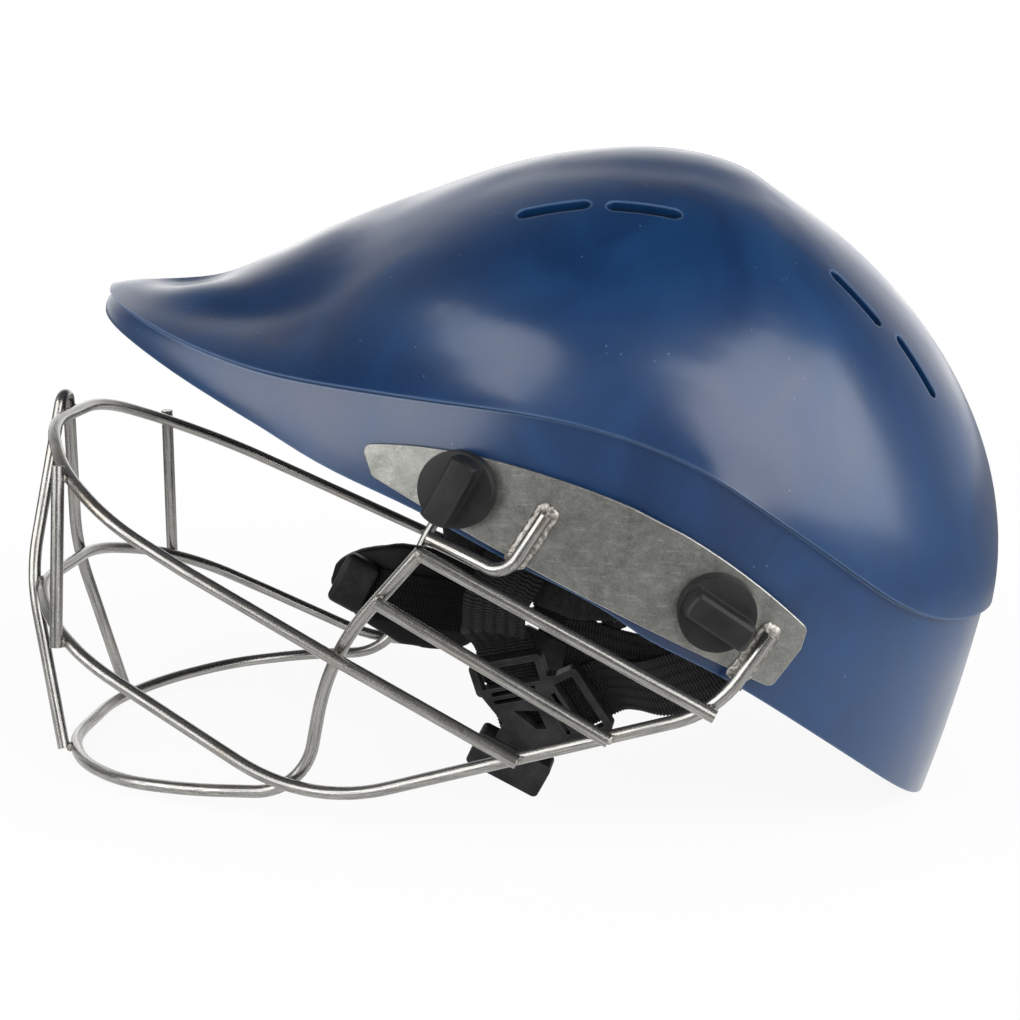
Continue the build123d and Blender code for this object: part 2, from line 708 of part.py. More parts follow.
# Bars welded on the outside of the rings.
centre_bar = bent_wire(both_sides(guard((0.351, 0.686, 0.999), (0.238, 0.909, 0.668), (0.034, 1.032, 0.270))))
short_bar = bent_wire(guard((0.613, 0.899, 0.301), (0.669, 0.751, 0.679)))
mid_side_bar = bent_wire([
    outwards(between(strut_top, strut_bend, -0.155 * GUARD_DROP), WIRE_STEP),
    outwards(between(rear_bend, rear_foot, -0.166 * GUARD_DROP), WIRE_STEP)])
upper_side_bar = bent_wire([outwards(strut_top, WIRE_STEP), outwards(rear_bend, WIRE_STEP)])
leg_y = 0.047 * GUARD_REACH
front_leg = bent_wire([
    (plate_x(-leg_y, rear_step), -leg_y, 0.210 * GUARD_DROP),
    (plate_x(-leg_y, rear_step), -leg_y - WIRE / 2, 0.055 * GUARD_DROP),
    (strut_top[0] + WIRE_STEP, -0.133 * GUARD_REACH, 0.040 * GUARD_DROP),
    (strut_top[0], strut_top[1], strut_top[2] + WIRE_STEP)])

# Harness dividers: two strap loops, rungs, a window and a buckle foot.
divider_plane = Plane(
    origin=(DIVIDER_X, DIVIDER_Y, DIVIDER_Z),
    x_dir=(0, 1, 0),
    z_dir=(cos(radians(DIVIDER_LEAN)), 0, -sin(radians(DIVIDER_LEAN))))
slot_length = WEBBING + SLOT_SPARE
loops = [
    Location((x * DIVIDER_SPAN, y * DIVIDER_SPAN, 0), (0, 0, turn))
    for (x, y), turn in zip(LOOP_SHARES, LOOP_TURNS)]
with BuildPart() as strap_divider:
    with BuildSketch(divider_plane):
        with Locations(*loops):
            RectangleRounded(slot_length + 2 * LOOP_BAR, SLOT_WIDTH + 2 * LOOP_BAR, DIVIDER_CORNER)
        with BuildLine():
            Polyline(*[(x * DIVIDER_SPAN, y * DIVIDER_SPAN) for x, y in DIVIDER_SHARES], close=True)
        make_face()
        with Locations(*loops):
            Rectangle(slot_length, SLOT_WIDTH, mode=Mode.SUBTRACT)
            for row in (1, 2):
                with Locations((0, -SLOT_WIDTH / 2 - row * (RUNG + SLIT) + SLIT / 2)):
                    Rectangle(slot_length - WEBBING / 4, SLIT, mode=Mode.SUBTRACT)
        with BuildLine():
            Polyline(*[(x * DIVIDER_SPAN, y * DIVIDER_SPAN) for x, y in WINDOW_SHARES], close=True)
        make_face(mode=Mode.SUBTRACT)
    extrude(amount=DIVIDER_THICK / 2, both=True)
    with BuildSketch(divider_plane):
        with Locations((FOOT_LENGTH / 2 * FOOT_SHARE[0], FOOT_SHARE[1] * DIVIDER_SPAN)):
            RectangleRounded(FOOT_LENGTH, FOOT_HEIGHT, DIVIDER_CORNER)
    extrude(amount=FOOT_THICK / 2, both=True)
    foot_end = FOOT_SHARE[1] * DIVIDER_SPAN - FOOT_HEIGHT / 2
    with BuildSketch(divider_plane):
        with Locations((FOOT_LENGTH / 2 * FOOT_SHARE[0], foot_end)):
            Rectangle(PLUG_WIDTH + SLOT_SPARE, 2 * MOUTH_DEPTH)
    extrude(amount=(FOOT_THICK / 2 - MOUTH_WALL), both=True, mode=Mode.SUBTRACT)


def divider_place(x, y, depth):
    """A place in space from a place on the divider and a depth outside its middle."""
    return divider_plane.from_local_coords(Vector(x, y, depth))


def harness_strap(y, lean_share, shares, loop):
    """Webbing from its rivet inside the band, out under the rim and behind a divider's loop."""
    x, z, turn = loop.position.X, loop.position.Y, radians(loop.orientation.Z)
    down = Vector(sin(turn), -cos(turn), 0)
    across = divider_plane.x_dir * cos(turn) + divider_plane.y_dir * sin(turn)
    behind = -DIVIDER_THICK / 2 - FIT_GAP - WEBBING_THICK / 2
    heights = (STRAP_TOP, RIVET_Z, RIM_CLEAR)
    run = [band_place(y + lean_share * (height - RIVET_Z), height, lean_share) for height in heights]
    for x_share, y_share, z_share in shares:
        run.append(((x_share * HALF_WIDTH, y_share * PEAK_REACH, z_share * CROWN), (0, 1, -lean_share)))
    reach_out = SLOT_WIDTH / 2 + LOOP_BAR
    deep = behind - FIT_GAP
    for step_share, depth in zip(LOOP_STEP_SHARES, (STRAP_SWING, deep, deep, behind, behind)):
        place = Vector(x, z, depth) + down * (step_share * reach_out)
        run.append((divider_plane.from_local_coords(place), across))
    with BuildPart() as strap:
        add(webbing(run))
        with BuildSketch(plate_plane(y, RIVET_Z, 0)):
            Circle(RIVET_STEM / 2 + STEM_GAP)
        extrude(amount=-4 * WALL, mode=Mode.SUBTRACT)
    return strap.part


def far_side(place):
    """The same place on the wearer's right."""
    return Vector(-place.X, place.Y, place.Z)


# Chin cup: a rounded patch of a sphere's wall, hanging by its webbing from the right divider.
lean = radians(CUP_LEAN)
cup_plane = Plane(origin=(CUP_X, CUP_Y, CUP_Z), x_dir=(0, cos(lean), sin(lean)), z_dir=(1, 0, 0))
with BuildPart() as chin_cup:
    with BuildSketch(cup_plane.offset(-CUP_RADIUS)):
        RectangleRounded(CUP_LENGTH, CUP_HEIGHT, CUP_CORNER)
    extrude(amount=2 * CUP_RADIUS)
    with Locations(cup_plane.offset(-CUP_RADIUS)):
        Sphere(CUP_RADIUS + CUP_WALL, mode=Mode.INTERSECT)
        Sphere(CUP_RADIUS, mode=Mode.SUBTRACT)


def cup_place(along):
    """Centre of the webbing on the cup's outside, at a distance along it, and its width."""
    ride = CUP_RADIUS + CUP_WALL + CUP_GAP + WEBBING_THICK / 2
    place = cup_plane.from_local_coords(Vector(along, 0, sqrt(ride**2 - along**2) - CUP_RADIUS))
    return place, cup_plane.y_dir


foot_middle = FOOT_LENGTH / 2 * FOOT_SHARE[0]
in_mouth, out_of_mouth = [
    divider_place(foot_middle, foot_end + share * MOUTH_DEPTH, 0) for share in MOUTH_SHARES]
swing = Vector(*[share * MOUTH_DEPTH for share in SWING_SHARES])
hang = [
    (far_side(in_mouth), (0, 1, 0)),
    (far_side(out_of_mouth), (0, 1, 0)),
    (far_side(out_of_mouth + swing), (0, 1, 1)),
]
on_cup = [cup_place(share * CUP_LENGTH) for share in ON_CUP_SHARES]
with BuildPart() as chin_strap:
    add(webbing(hang + on_cup))

# Buckle plug on the strap's free end: a body with two springy prongs and a middle guide.
tail_place, tail_across = on_cup[-1]
tail_run = (tail_place - on_cup[-2][0]).normalized()
plug_plane = Plane(
    origin=tail_place + tail_run * (PLUG_BODY / 2 - MOUTH_DEPTH / 3),
    x_dir=tail_run,
    z_dir=tail_across.cross(tail_run))
with BuildPart() as buckle_plug:
    with BuildSketch(plug_plane):
        RectangleRounded(PLUG_BODY, PLUG_WIDTH, PLUG_CORNER)
        with Locations((PLUG_BODY / 2 + PRONG / 2, 0)):
            with GridLocations(PRONG, (PLUG_WIDTH - PRONG_WIDTH) / 2, 1, 3):
                Rectangle(PRONG + PLUG_CORNER, PRONG_WIDTH)
    extrude(amount=PLUG_THICK / 2, both=True)
    with BuildSketch(plug_plane):
        with Locations((-PLUG_BODY / 2, 0)):
            Rectangle(PLUG_BODY, WEBBING + SLOT_SPARE)
    extrude(amount=WEBBING_THICK / 2 + FIT_GAP, both=True, mode=Mode.SUBTRACT)

front_strap = harness_strap(FRONT_STRAP_Y, FRONT_LEAN_SHARE, FRONT_STRAP_SHARES, loops[0])
rear_strap = harness_strap(REAR_STRAP_Y, REAR_LEAN_SHARE, REAR_STRAP_SHARES, loops[1])

# The upright pieces: one of each, then the pairs, drawn on the left and mirrored.
singles = {
    "shell": shell.part,
    "crown_liner": crown_liner.part,
    "brow_pad": brow_pad.part,
    "nape_pad": nape_pad.part,
    "tee_nuts": tee_nuts.part,
    "rubber_washers": rubber_washers.part,
    "strap_rivets": strap_rivets.part,
    "upper_wire": upper_wire,
    "middle_wire": middle_wire,
    "lower_wire": lower_wire,
    "centre_bar": centre_bar,
    "chin_strap": chin_strap.part,
    "chin_cup": chin_cup.part,
    "buckle_plug": buckle_plug.part,
}
pairs = {
    "temple_pad": temple_pad.part,
    "side_plate": side_plate.part,
    "short_bar": short_bar,
    "mid_side_bar": mid_side_bar,
    "upper_side_bar": upper_side_bar,
    "front_leg": front_leg,
    "front_strap": front_strap,
    "rear_strap": rear_strap,
    "strap_divider": strap_divider.part,
    "front_knob": hand_knob(*CLAMPS[0], FRONT_GRIP_TURN),
    "rear_knob": hand_knob(*CLAMPS[1], REAR_GRIP_TURN),
    "front_screw": knob_screw(*CLAMPS[0]),
    "rear_screw": knob_screw(*CLAMPS[1]),
}
pieces = dict(singles)
for name, piece in pairs.items():
    pieces[name + "_left"] = piece
    pieces[name + "_right"] = piece.mirror(Plane.YZ)

# Tipped forward and stood with the middle of the footprint at the origin.
tip = Location((0, 0, 0), (-FORWARD_TILT, 0, 0))
tipped = {name: piece.moved(tip) for name, piece in pieces.items()}
boxes = [piece.bounding_box() for piece in tipped.values()]
front = min(box.min.Y for box in boxes)
back = max(box.max.Y for box in boxes)
floor = min(box.min.Z for box in boxes)
stand = Location((0, -(front + back) / 2, -floor))
print("head origin", stand.position)
print("lowest", sorted((round(box.min.Z - floor, 2), name) for box, name in zip(boxes, tipped))[:4])
for clamp in CLAMPS:
    print("clamp", stand * tip * plate_plane(*clamp, PLATE).location)

os.makedirs("parts", exist_ok=True)
for name, piece in tipped.items():
    placed = piece.moved(stand)
    placed.label = name
    export_step(placed, f"parts/{name}.step")
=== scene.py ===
"""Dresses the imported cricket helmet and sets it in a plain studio.

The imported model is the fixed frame: the moulded shell, the steel side plates, the
welded faceguard and the strap dividers stay where it puts them. This script gives
every piece its finish, rounds the knobs, the chin cup and the buckle's hood, puffs
the foam pads, weaves the straps, adds the weld beads, and lights and frames the whole.
Lengths are metres, apart from places on the clamps and the harness, which are mm.
"""

import json
import logging
import math
from dataclasses import dataclass
from enum import Enum
from functools import cached_property
from typing import Any, Iterable, NamedTuple, Optional, Union

import bpy
import numpy as np
from mathutils import Matrix, Vector, noise
from mathutils.bvhtree import BVHTree

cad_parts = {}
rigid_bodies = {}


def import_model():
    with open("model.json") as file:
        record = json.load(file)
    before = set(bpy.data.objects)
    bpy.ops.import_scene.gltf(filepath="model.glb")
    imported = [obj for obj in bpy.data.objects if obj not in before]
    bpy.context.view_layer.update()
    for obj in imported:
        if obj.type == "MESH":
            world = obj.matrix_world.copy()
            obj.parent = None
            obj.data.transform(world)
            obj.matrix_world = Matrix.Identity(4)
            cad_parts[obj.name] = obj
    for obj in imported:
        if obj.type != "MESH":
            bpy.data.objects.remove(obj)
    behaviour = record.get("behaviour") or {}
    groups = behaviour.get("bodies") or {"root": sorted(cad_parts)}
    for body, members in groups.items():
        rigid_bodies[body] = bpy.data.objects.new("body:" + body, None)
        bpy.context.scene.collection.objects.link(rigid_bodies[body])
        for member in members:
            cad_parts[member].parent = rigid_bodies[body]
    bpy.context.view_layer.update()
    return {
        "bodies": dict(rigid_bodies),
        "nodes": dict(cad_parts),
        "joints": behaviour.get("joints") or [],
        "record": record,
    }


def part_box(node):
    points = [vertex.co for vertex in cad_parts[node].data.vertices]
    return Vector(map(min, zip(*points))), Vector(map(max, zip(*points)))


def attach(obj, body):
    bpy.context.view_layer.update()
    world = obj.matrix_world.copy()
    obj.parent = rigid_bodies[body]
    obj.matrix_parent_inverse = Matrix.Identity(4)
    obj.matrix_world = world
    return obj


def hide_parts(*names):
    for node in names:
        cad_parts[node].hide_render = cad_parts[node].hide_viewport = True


LOG = logging.getLogger("helmet")
MM = 0.001
TINY = 1e-9

Place = tuple[float, float, float]
Color = tuple[float, float, float]
Span = tuple[float, float]
Piece = bpy.types.Object
Socket = bpy.types.NodeSocket

WHITE: Color = (1.0, 1.0, 1.0)

# How far a rounded normal is turned from the true one, at the start of an edge and on it.
EDGE_TURN: Span = (0.02, 0.22)
EDGE_SAMPLES = 6

# The webbing's ribs: their spacing, and how far and how slowly they wander across it.
RIB_PITCH = 1.2 * MM
RIB_WANDER = 0.7
RIB_RIPPLE = 0.32


class Slot(Enum):
    """The record's material slots."""

    SHELL = "shell_navy"
    FOAM = "foam"
    PLATE = "plate_steel"
    WIRE = "wire_steel"
    KNOB = "knob_plastic"
    HARDWARE = "hardware_steel"
    RUBBER = "washer_rubber"
    WEBBING = "webbing"
    BUCKLE = "buckle_plastic"


class Side(Enum):
    """The wearer's sides, by the sign of their x."""

    LEFT = 1
    RIGHT = -1

    @property
    def tail(self) -> str:
        """The ending that a piece of this side has in its name."""
        return self.name.lower()

    def mirrored(self, place: Place) -> Vector:
        """A place or direction on the left, as it is on this side."""
        return Vector((place[0] * self.value, place[1], place[2]))


# Shader maths


class Signal:
    """A shader socket of one number that takes part in Python arithmetic."""

    def __init__(self, recipe: "Recipe", socket: Socket) -> None:
        """Wraps a socket.

        Args:
            recipe: The nodes that the arithmetic adds to.
            socket: The output socket that carries the number.
        """
        self.recipe = recipe
        self.socket = socket

    def worked(self, operation: str, *values: "Number") -> "Signal":
        """Adds one Math node.

        Args:
            operation: The node's operation.
            values: Its inputs, in order.

        Returns:
            The node's result.
        """
        inputs = dict(enumerate(values))
        node = self.recipe.node("ShaderNodeMath", {"operation": operation}, inputs)
        return Signal(self.recipe, node.outputs[0])

    def __add__(self, other: "Number") -> "Signal":
        """This number plus another."""
        return self.worked("ADD", self, other)

    __radd__ = __add__

    def __sub__(self, other: "Number") -> "Signal":
        """This number less another."""
        return self.worked("SUBTRACT", self, other)

    def __rsub__(self, other: "Number") -> "Signal":
        """Another number less this one."""
        return self.worked("SUBTRACT", other, self)

    def __mul__(self, other: "Number") -> "Signal":
        """This number times another."""
        return self.worked("MULTIPLY", self, other)

    __rmul__ = __mul__

    def __lt__(self, edge: "Number") -> "Signal":
        """One where this number is below an edge, or nought."""
        return self.worked("LESS_THAN", self, edge)

    def __gt__(self, edge: "Number") -> "Signal":
        """One where this number is above an edge, or nought."""
        return self.worked("GREATER_THAN", self, edge)

    def wave(self) -> "Signal":
        """The sine of this number."""
        return self.worked("SINE", self)

    def larger(self, other: "Number") -> "Signal":
        """The larger of this number and another."""
        return self.worked("MAXIMUM", self, other)

    def between(self, low: float, high: float) -> "Signal":
        """This number spread over a span, and held at nought below it and at one above.

        Args:
            low: Where the span starts.
            high: Where it ends.

        Returns:
            The spread number.
        """
        values = {"Value": self, "From Min": low, "From Max": high}
        node = self.recipe.node("ShaderNodeMapRange", {"clamp": True}, values)
        return Signal(self.recipe, node.outputs[0])


Number = Union[float, Signal]
Feed = Union[float, Color, Signal, Socket]


class Grain(NamedTuple):
    """Noise: its features to the metre, its finer octaves and how far it is distorted."""

    scale: float
    detail: float = 2.0
    twist: float = 0.0


class Recipe:
    """The shader nodes of one material, or of the world."""

    def __init__(self, owner: Union[bpy.types.Material, bpy.types.World]) -> None:
        """Switches on a material's or world's nodes.

        Args:
            owner: The new material or world.
        """
        owner.use_nodes = True
        self.owner = owner
        self.tree = owner.node_tree
        self.shader = self.tree.nodes.get("Principled BSDF")

    @cached_property
    def here(self) -> Socket:
        """The object's own coordinates."""
        return self.coordinates("Object")

    def node(
        self,
        kind: str,
        settings: Optional[dict[str, Any]] = None,
        inputs: Optional[dict[Any, Feed]] = None,
    ) -> bpy.types.Node:
        """Adds a node.

        Args:
            kind: The node's type.
            settings: Its settings, set first.
            inputs: Values or links of its sockets, by name or number.

        Returns:
            The node.
        """
        made = self.tree.nodes.new(kind)
        for name, value in (settings or {}).items():
            setattr(made, name, value)
        for key, value in (inputs or {}).items():
            self.feed(made.inputs[key], value)
        return made

    def feed(self, socket: Socket, value: Feed) -> None:
        """Sets a socket to a value, or links it.

        Args:
            socket: The socket that is fed.
            value: A number, a colour, a scale, a signal or another node's socket.
        """
        if isinstance(value, Signal):
            self.tree.links.new(value.socket, socket)
        elif isinstance(value, Socket):
            self.tree.links.new(value, socket)
        elif socket.type == "RGBA":
            socket.default_value = (*value, 1.0)
        else:
            socket.default_value = value

    def set(self, **values: Feed) -> None:
        """Feeds the shader's sockets, whose names have an underscore for each space."""
        for name, value in values.items():
            self.feed(self.shader.inputs[name.replace("_", " ")], value)

    def coordinates(self, kind: str) -> Socket:
        """One of the outputs of Texture Coordinate."""
        return self.node("ShaderNodeTexCoord").outputs[kind]

    def ray(self, kind: str) -> Signal:
        """One for rays of a kind, such as Camera, or nought."""
        return Signal(self, self.node("ShaderNodeLightPath").outputs[f"Is {kind} Ray"])

    def stretched(self, scale: Place, vector: Optional[Socket] = None) -> Socket:
        """Coordinates multiplied along each axis.

        Args:
            scale: The factor of each axis.
            vector: The coordinates, if they aren't the object's own.

        Returns:
            The new coordinates.
        """
        vector = self.here if vector is None else vector
        return self.node("ShaderNodeMapping", None, {"Vector": vector, "Scale": scale}).outputs[0]

    def added(self, first: Socket, second: Socket) -> Socket:
        """The sum of two vectors."""
        values = {0: first, 1: second}
        return self.node("ShaderNodeVectorMath", {"operation": "ADD"}, values).outputs[0]

    def grain(self, kind: Grain, vector: Optional[Socket] = None) -> Signal:
        """Noise from nought to one.

        Args:
            kind: The noise's scale, detail and twist.
            vector: The coordinates that it follows, if they aren't the object's own.

        Returns:
            The noise.
        """
        values: dict[Any, Feed] = {"Vector": self.here if vector is None else vector}
        values.update({"Scale": kind.scale, "Detail": kind.detail, "Distortion": kind.twist})
        return Signal(self, self.node("ShaderNodeTexNoise", None, values).outputs[0])

    def cells(self, scale: float) -> Signal:
        """Distance from the nearest of many scattered points."""
        values = {"Vector": self.here, "Scale": scale}
        return Signal(self, self.node("ShaderNodeTexVoronoi", None, values).outputs[0])

    def mixed(self, first: Feed, second: Feed, share: Number) -> Socket:
        """Two colours mixed, the second by its share."""
        values = {0: share, 6: first, 7: second}
        return self.node("ShaderNodeMix", {"data_type": "RGBA"}, values).outputs[2]

    def blended(self, first: Socket, second: Socket, share: Number) -> Socket:
        """Two shaders mixed, the second by its share."""
        values = {0: share, 1: first, 2: second}
        return self.node("ShaderNodeMixShader", None, values).outputs[0]

    def rounded(self, radius: float) -> tuple[Socket, Signal]:
        """Normals that turn softly at edges, and where the edges are.

        Args:
            radius: How far from an edge the normals start to turn.

        Returns:
            The normals, and a signal that rises towards one at an edge.
        """
        bevelled = self.node("ShaderNodeBevel", {"samples": EDGE_SAMPLES}, {"Radius": radius})
        soft = bevelled.outputs[0]
        values = {0: soft, 1: self.node("ShaderNodeNewGeometry").outputs["Normal"]}
        dot = self.node("ShaderNodeVectorMath", {"operation": "DOT_PRODUCT"}, values)
        return soft, (1.0 - Signal(self, dot.outputs["Value"])).between(*EDGE_TURN)

    def bumped(
        self, height: Signal, depth: float, normal: Optional[Socket] = None, strength: float = 1.0
    ) -> Socket:
        """Normals bumped by a height.

        Args:
            height: The height, from nought to one.
            depth: The depth of one whole step of it.
            normal: Normals that it is laid on.
            strength: How much of the bump shows.

        Returns:
            The bumped normals.
        """
        values: dict[Any, Feed] = {"Height": height, "Distance": depth, "Strength": strength}
        if normal is not None:
            values["Normal"] = normal
        return self.node("ShaderNodeBump", None, values).outputs[0]


# Finishes


@dataclass(frozen=True)
class Finish:
    """What a surface is made of, and the record's slot that it belongs to."""

    slot: Slot
    name: str

    @cached_property
    def recipe(self) -> Recipe:
        """The nodes of the finish's one material."""
        return Recipe(bpy.data.materials.new(self.name))

    @cached_property
    def material(self) -> bpy.types.Material:
        """The material, mixed when it is first asked for."""
        self.mix()
        return self.recipe.owner

    def mix(self) -> None:
        """Mixes the material."""
        raise NotImplementedError


@dataclass(frozen=True)
class MouldedNavy(Finish):
    """Glossy navy plastic with faint veils, as a mould leaves it, a little dust, and a highlight
    painted pale blue along its edges and crease.
    """

    slot: Slot = Slot.SHELL
    name: str = "moulded_navy"
    deep: Color = (0.0012, 0.017, 0.064)
    pale: Color = (0.0045, 0.041, 0.122)
    # Painted highlight: pale blue laid on the shell's edges, the top of the crease most of all,
    # where light would catch.
    crest: Color = (0.09, 0.16, 0.30)
    dust: Color = (0.30, 0.34, 0.40)
    veils: Grain = Grain(22.0, 3.0, 1.2)
    veil_stretch: Place = (1.0, 1.15, 0.8)
    flows: Grain = Grain(9.0, 1.0)
    specks: Grain = Grain(900.0, 1.0)
    mote_scale: float = 260.0
    mote_size: float = 0.07
    mote_drifts: Grain = Grain(70.0, 0.0)
    drift_edge: float = 0.64
    edge_radius: float = 1.6 * MM
    bump: float = 0.3 * MM

    def mix(self) -> None:
        """Mixes the material."""
        recipe = self.recipe
        veil = recipe.grain(self.veils, recipe.stretched(self.veil_stretch))
        flow, speck = recipe.grain(self.flows), recipe.grain(self.specks)
        drift = recipe.grain(self.mote_drifts) > self.drift_edge
        motes = (recipe.cells(self.mote_scale) < self.mote_size) * drift
        tone = (
            veil.between(0.36, 0.72) * 0.5
            + flow.between(0.35, 0.7) * 0.25
            + speck.between(0.5, 0.8) * 0.2
        )
        navy = recipe.mixed(self.deep, self.pale, tone)
        dusty = recipe.mixed(navy, self.dust, motes * 0.35)
        soft, edge = recipe.rounded(self.edge_radius)
        recipe.set(
            # The edges, the top of the crease most of all, get a painted highlight in pale blue.
            Base_Color=recipe.mixed(dusty, self.crest, edge * 0.85),
            Roughness=veil * 0.24 + speck * 0.05 + motes * 0.3 + 0.31,
            Specular_IOR_Level=0.2,
            Coat_Weight=0.9 - veil.between(0.3, 0.75) * 0.25,
            Coat_Roughness=0.24,
            Normal=recipe.bumped(veil + flow, self.bump, soft, 0.4),
        )


@dataclass(frozen=True)
class SheetSteel(Finish):
    """Mill sheet with a mottled grey face, fine scratches and bright sheared edges."""

    slot: Slot = Slot.PLATE
    name: str = "sheet_steel"
    dark: Color = (0.12, 0.12, 0.11)
    light: Color = (0.34, 0.34, 0.32)
    sheared: Color = (0.86, 0.86, 0.84)
    clouds: Grain = Grain(75.0, 4.0, 0.8)
    grits: Grain = Grain(1500.0)
    stains: Grain = Grain(260.0, 3.0, 0.4)
    scratches: Grain = Grain(1100.0, 1.0)
    scratch_stretch: Place = (1.0, 0.12, 1.0)
    edge_radius: float = 0.45 * MM
    bump: float = 0.05 * MM

    def mix(self) -> None:
        """Mixes the material."""
        recipe = self.recipe
        cloud, grit, stain = (recipe.grain(kind) for kind in (self.clouds, self.grits, self.stains))
        scratch = recipe.grain(self.scratches, recipe.stretched(self.scratch_stretch))
        tone = (
            cloud.between(0.3, 0.72) * 0.3
            + stain.between(0.35, 0.7) * 0.3
            + grit.between(0.3, 0.7) * 0.3
            + scratch.between(0.6, 0.75) * 0.3
        )
        soft, edge = recipe.rounded(self.edge_radius)
        recipe.set(
            Base_Color=recipe.mixed(recipe.mixed(self.dark, self.light, tone), self.sheared, edge),
            Metallic=0.92,
            Roughness=0.42 - cloud * 0.12 + grit * 0.12 - edge * 0.12,
            Normal=recipe.bumped(grit + scratch * 0.6 + stain, self.bump, soft, 0.5),
        )


@dataclass(frozen=True)
class DrawnWire(Finish):
    """Satin drawn wire, streaked along its length and browned here and there by welding."""

    slot: Slot = Slot.WIRE
    name: str = "drawn_wire"
    dark: Color = (0.085, 0.083, 0.078)
    light: Color = (0.52, 0.51, 0.485)
    scorched: Color = (0.22, 0.165, 0.12)
    streaks: Grain = Grain(2.2, 3.0)
    streaks_round: Place = (5.0, 5.0, 5.0)
    streaks_along: Place = (40.0, 40.0, 40.0)
    fines: Grain = Grain(1200.0)
    patches: Grain = Grain(55.0)
    edge_radius: float = 0.3 * MM
    bump: float = 0.06 * MM

    def mix(self) -> None:
        """Mixes the material."""
        recipe = self.recipe
        about = recipe.stretched(self.streaks_round, recipe.coordinates("Normal"))
        along = recipe.stretched(self.streaks_along)
        streak = recipe.grain(self.streaks, recipe.added(about, along))
        fine, patch = recipe.grain(self.fines), recipe.grain(self.patches)
        tone = streak.between(0.32, 0.7) * 0.6 + fine * 0.25 + patch.between(0.35, 0.7) * 0.15
        bare = recipe.mixed(self.dark, self.light, tone)
        soft, _ = recipe.rounded(self.edge_radius)
        recipe.set(
            Base_Color=recipe.mixed(bare, self.scorched, patch.between(0.60, 0.74) * 0.45),
            Metallic=0.9,
            Roughness=0.27 - streak * 0.14 + fine * 0.08,
            Normal=recipe.bumped(streak + fine * 0.5, self.bump, soft, 0.5),
        )


@dataclass(frozen=True)
class WeldMetal(Finish):
    """Lumpy weld metal, darker and browner than the wire."""

    slot: Slot = Slot.WIRE
    name: str = "weld_metal"
    dark: Color = (0.14, 0.125, 0.105)
    light: Color = (0.48, 0.46, 0.43)
    lumps: Grain = Grain(700.0, 3.0)
    bump: float = 0.2 * MM

    def mix(self) -> None:
        """Mixes the material."""
        recipe = self.recipe
        lump = recipe.grain(self.lumps)
        recipe.set(
            Base_Color=recipe.mixed(self.dark, self.light, lump.between(0.35, 0.65)),
            Metallic=0.85,
            Roughness=lump * 0.3 + 0.3,
            Normal=recipe.bumped(lump, self.bump),
        )


@dataclass(frozen=True)
class MouldedCharcoal(Finish):
    """Charcoal plastic with a fine moulded grain, and a highlight painted paler along its edges."""

    slot: Slot = Slot.KNOB
    name: str = "moulded_charcoal_knob_plastic"
    dark: Color = (0.004, 0.004, 0.0043)
    # The paler colour serves both the grain's random tone and a highlight painted along the edges;
    # the next number is how much of it the edges get.
    worn: Color = (0.030, 0.030, 0.031)
    wear: float = 0.6
    gloss: float = 0.25
    grains: Grain = Grain(1700.0)
    clouds: Grain = Grain(120.0, 3.0)
    edge_radius: float = 0.5 * MM
    bump: float = 0.05 * MM

    def mix(self) -> None:
        """Mixes the material."""
        recipe = self.recipe
        grain, cloud = recipe.grain(self.grains), recipe.grain(self.clouds)
        soft, edge = recipe.rounded(self.edge_radius)
        # Edges are painted paler as a highlight, on top of the grain's random tone.
        tone = grain * 0.25 + cloud.between(0.4, 0.75) * 0.3 + edge * self.wear
        recipe.set(
            Base_Color=recipe.mixed(self.dark, self.worn, tone),
            Roughness=grain * 0.12 + cloud * 0.1 + 0.34,
            Specular_IOR_Level=self.gloss,
            Normal=recipe.bumped(grain, self.bump, soft, 0.6),
        )


@dataclass(frozen=True)
class PlatedSteel(Finish):
    """Zinc-plated fixings with a faint spangle."""

    slot: Slot = Slot.HARDWARE
    name: str = "plated_steel"
    dark: Color = (0.35, 0.35, 0.36)
    light: Color = (0.66, 0.66, 0.66)
    spangle_scale: float = 500.0
    fines: Grain = Grain(1500.0)
    edge_radius: float = 0.3 * MM
    bump: float = 0.03 * MM

    def mix(self) -> None:
        """Mixes the material."""
        recipe = self.recipe
        spangle, fine = recipe.cells(self.spangle_scale), recipe.grain(self.fines)
        soft, edge = recipe.rounded(self.edge_radius)
        recipe.set(
            Base_Color=recipe.mixed(self.dark, self.light, spangle * 0.6 + fine * 0.3 + edge * 0.3),
            Metallic=1.0,
            Roughness=fine * 0.15 + 0.25,
            Normal=recipe.bumped(fine, self.bump, soft, 0.5),
        )


@dataclass(frozen=True)
class BlackRubber(Finish):
    """Soft black rubber with a dusty bloom."""

    slot: Slot = Slot.RUBBER
    name: str = "black_rubber_washer_rubber"
    dark: Color = (0.012, 0.012, 0.012)
    bloom: Color = (0.045, 0.045, 0.043)
    clouds: Grain = Grain(90.0, 4.0, 0.6)
    pores: Grain = Grain(1400.0)
    edge_radius: float = 0.6 * MM
    bump: float = 0.06 * MM

    def mix(self) -> None:
        """Mixes the material."""
        recipe = self.recipe
        cloud, pore = recipe.grain(self.clouds), recipe.grain(self.pores)
        soft, _ = recipe.rounded(self.edge_radius)
        recipe.set(
            Base_Color=recipe.mixed(self.dark, self.bloom, cloud.between(0.45, 0.8) * 0.7),
            Roughness=cloud * 0.2 + 0.42,
            Specular_IOR_Level=0.12,
            Normal=recipe.bumped(pore + cloud, self.bump, soft, 0.5),
        )


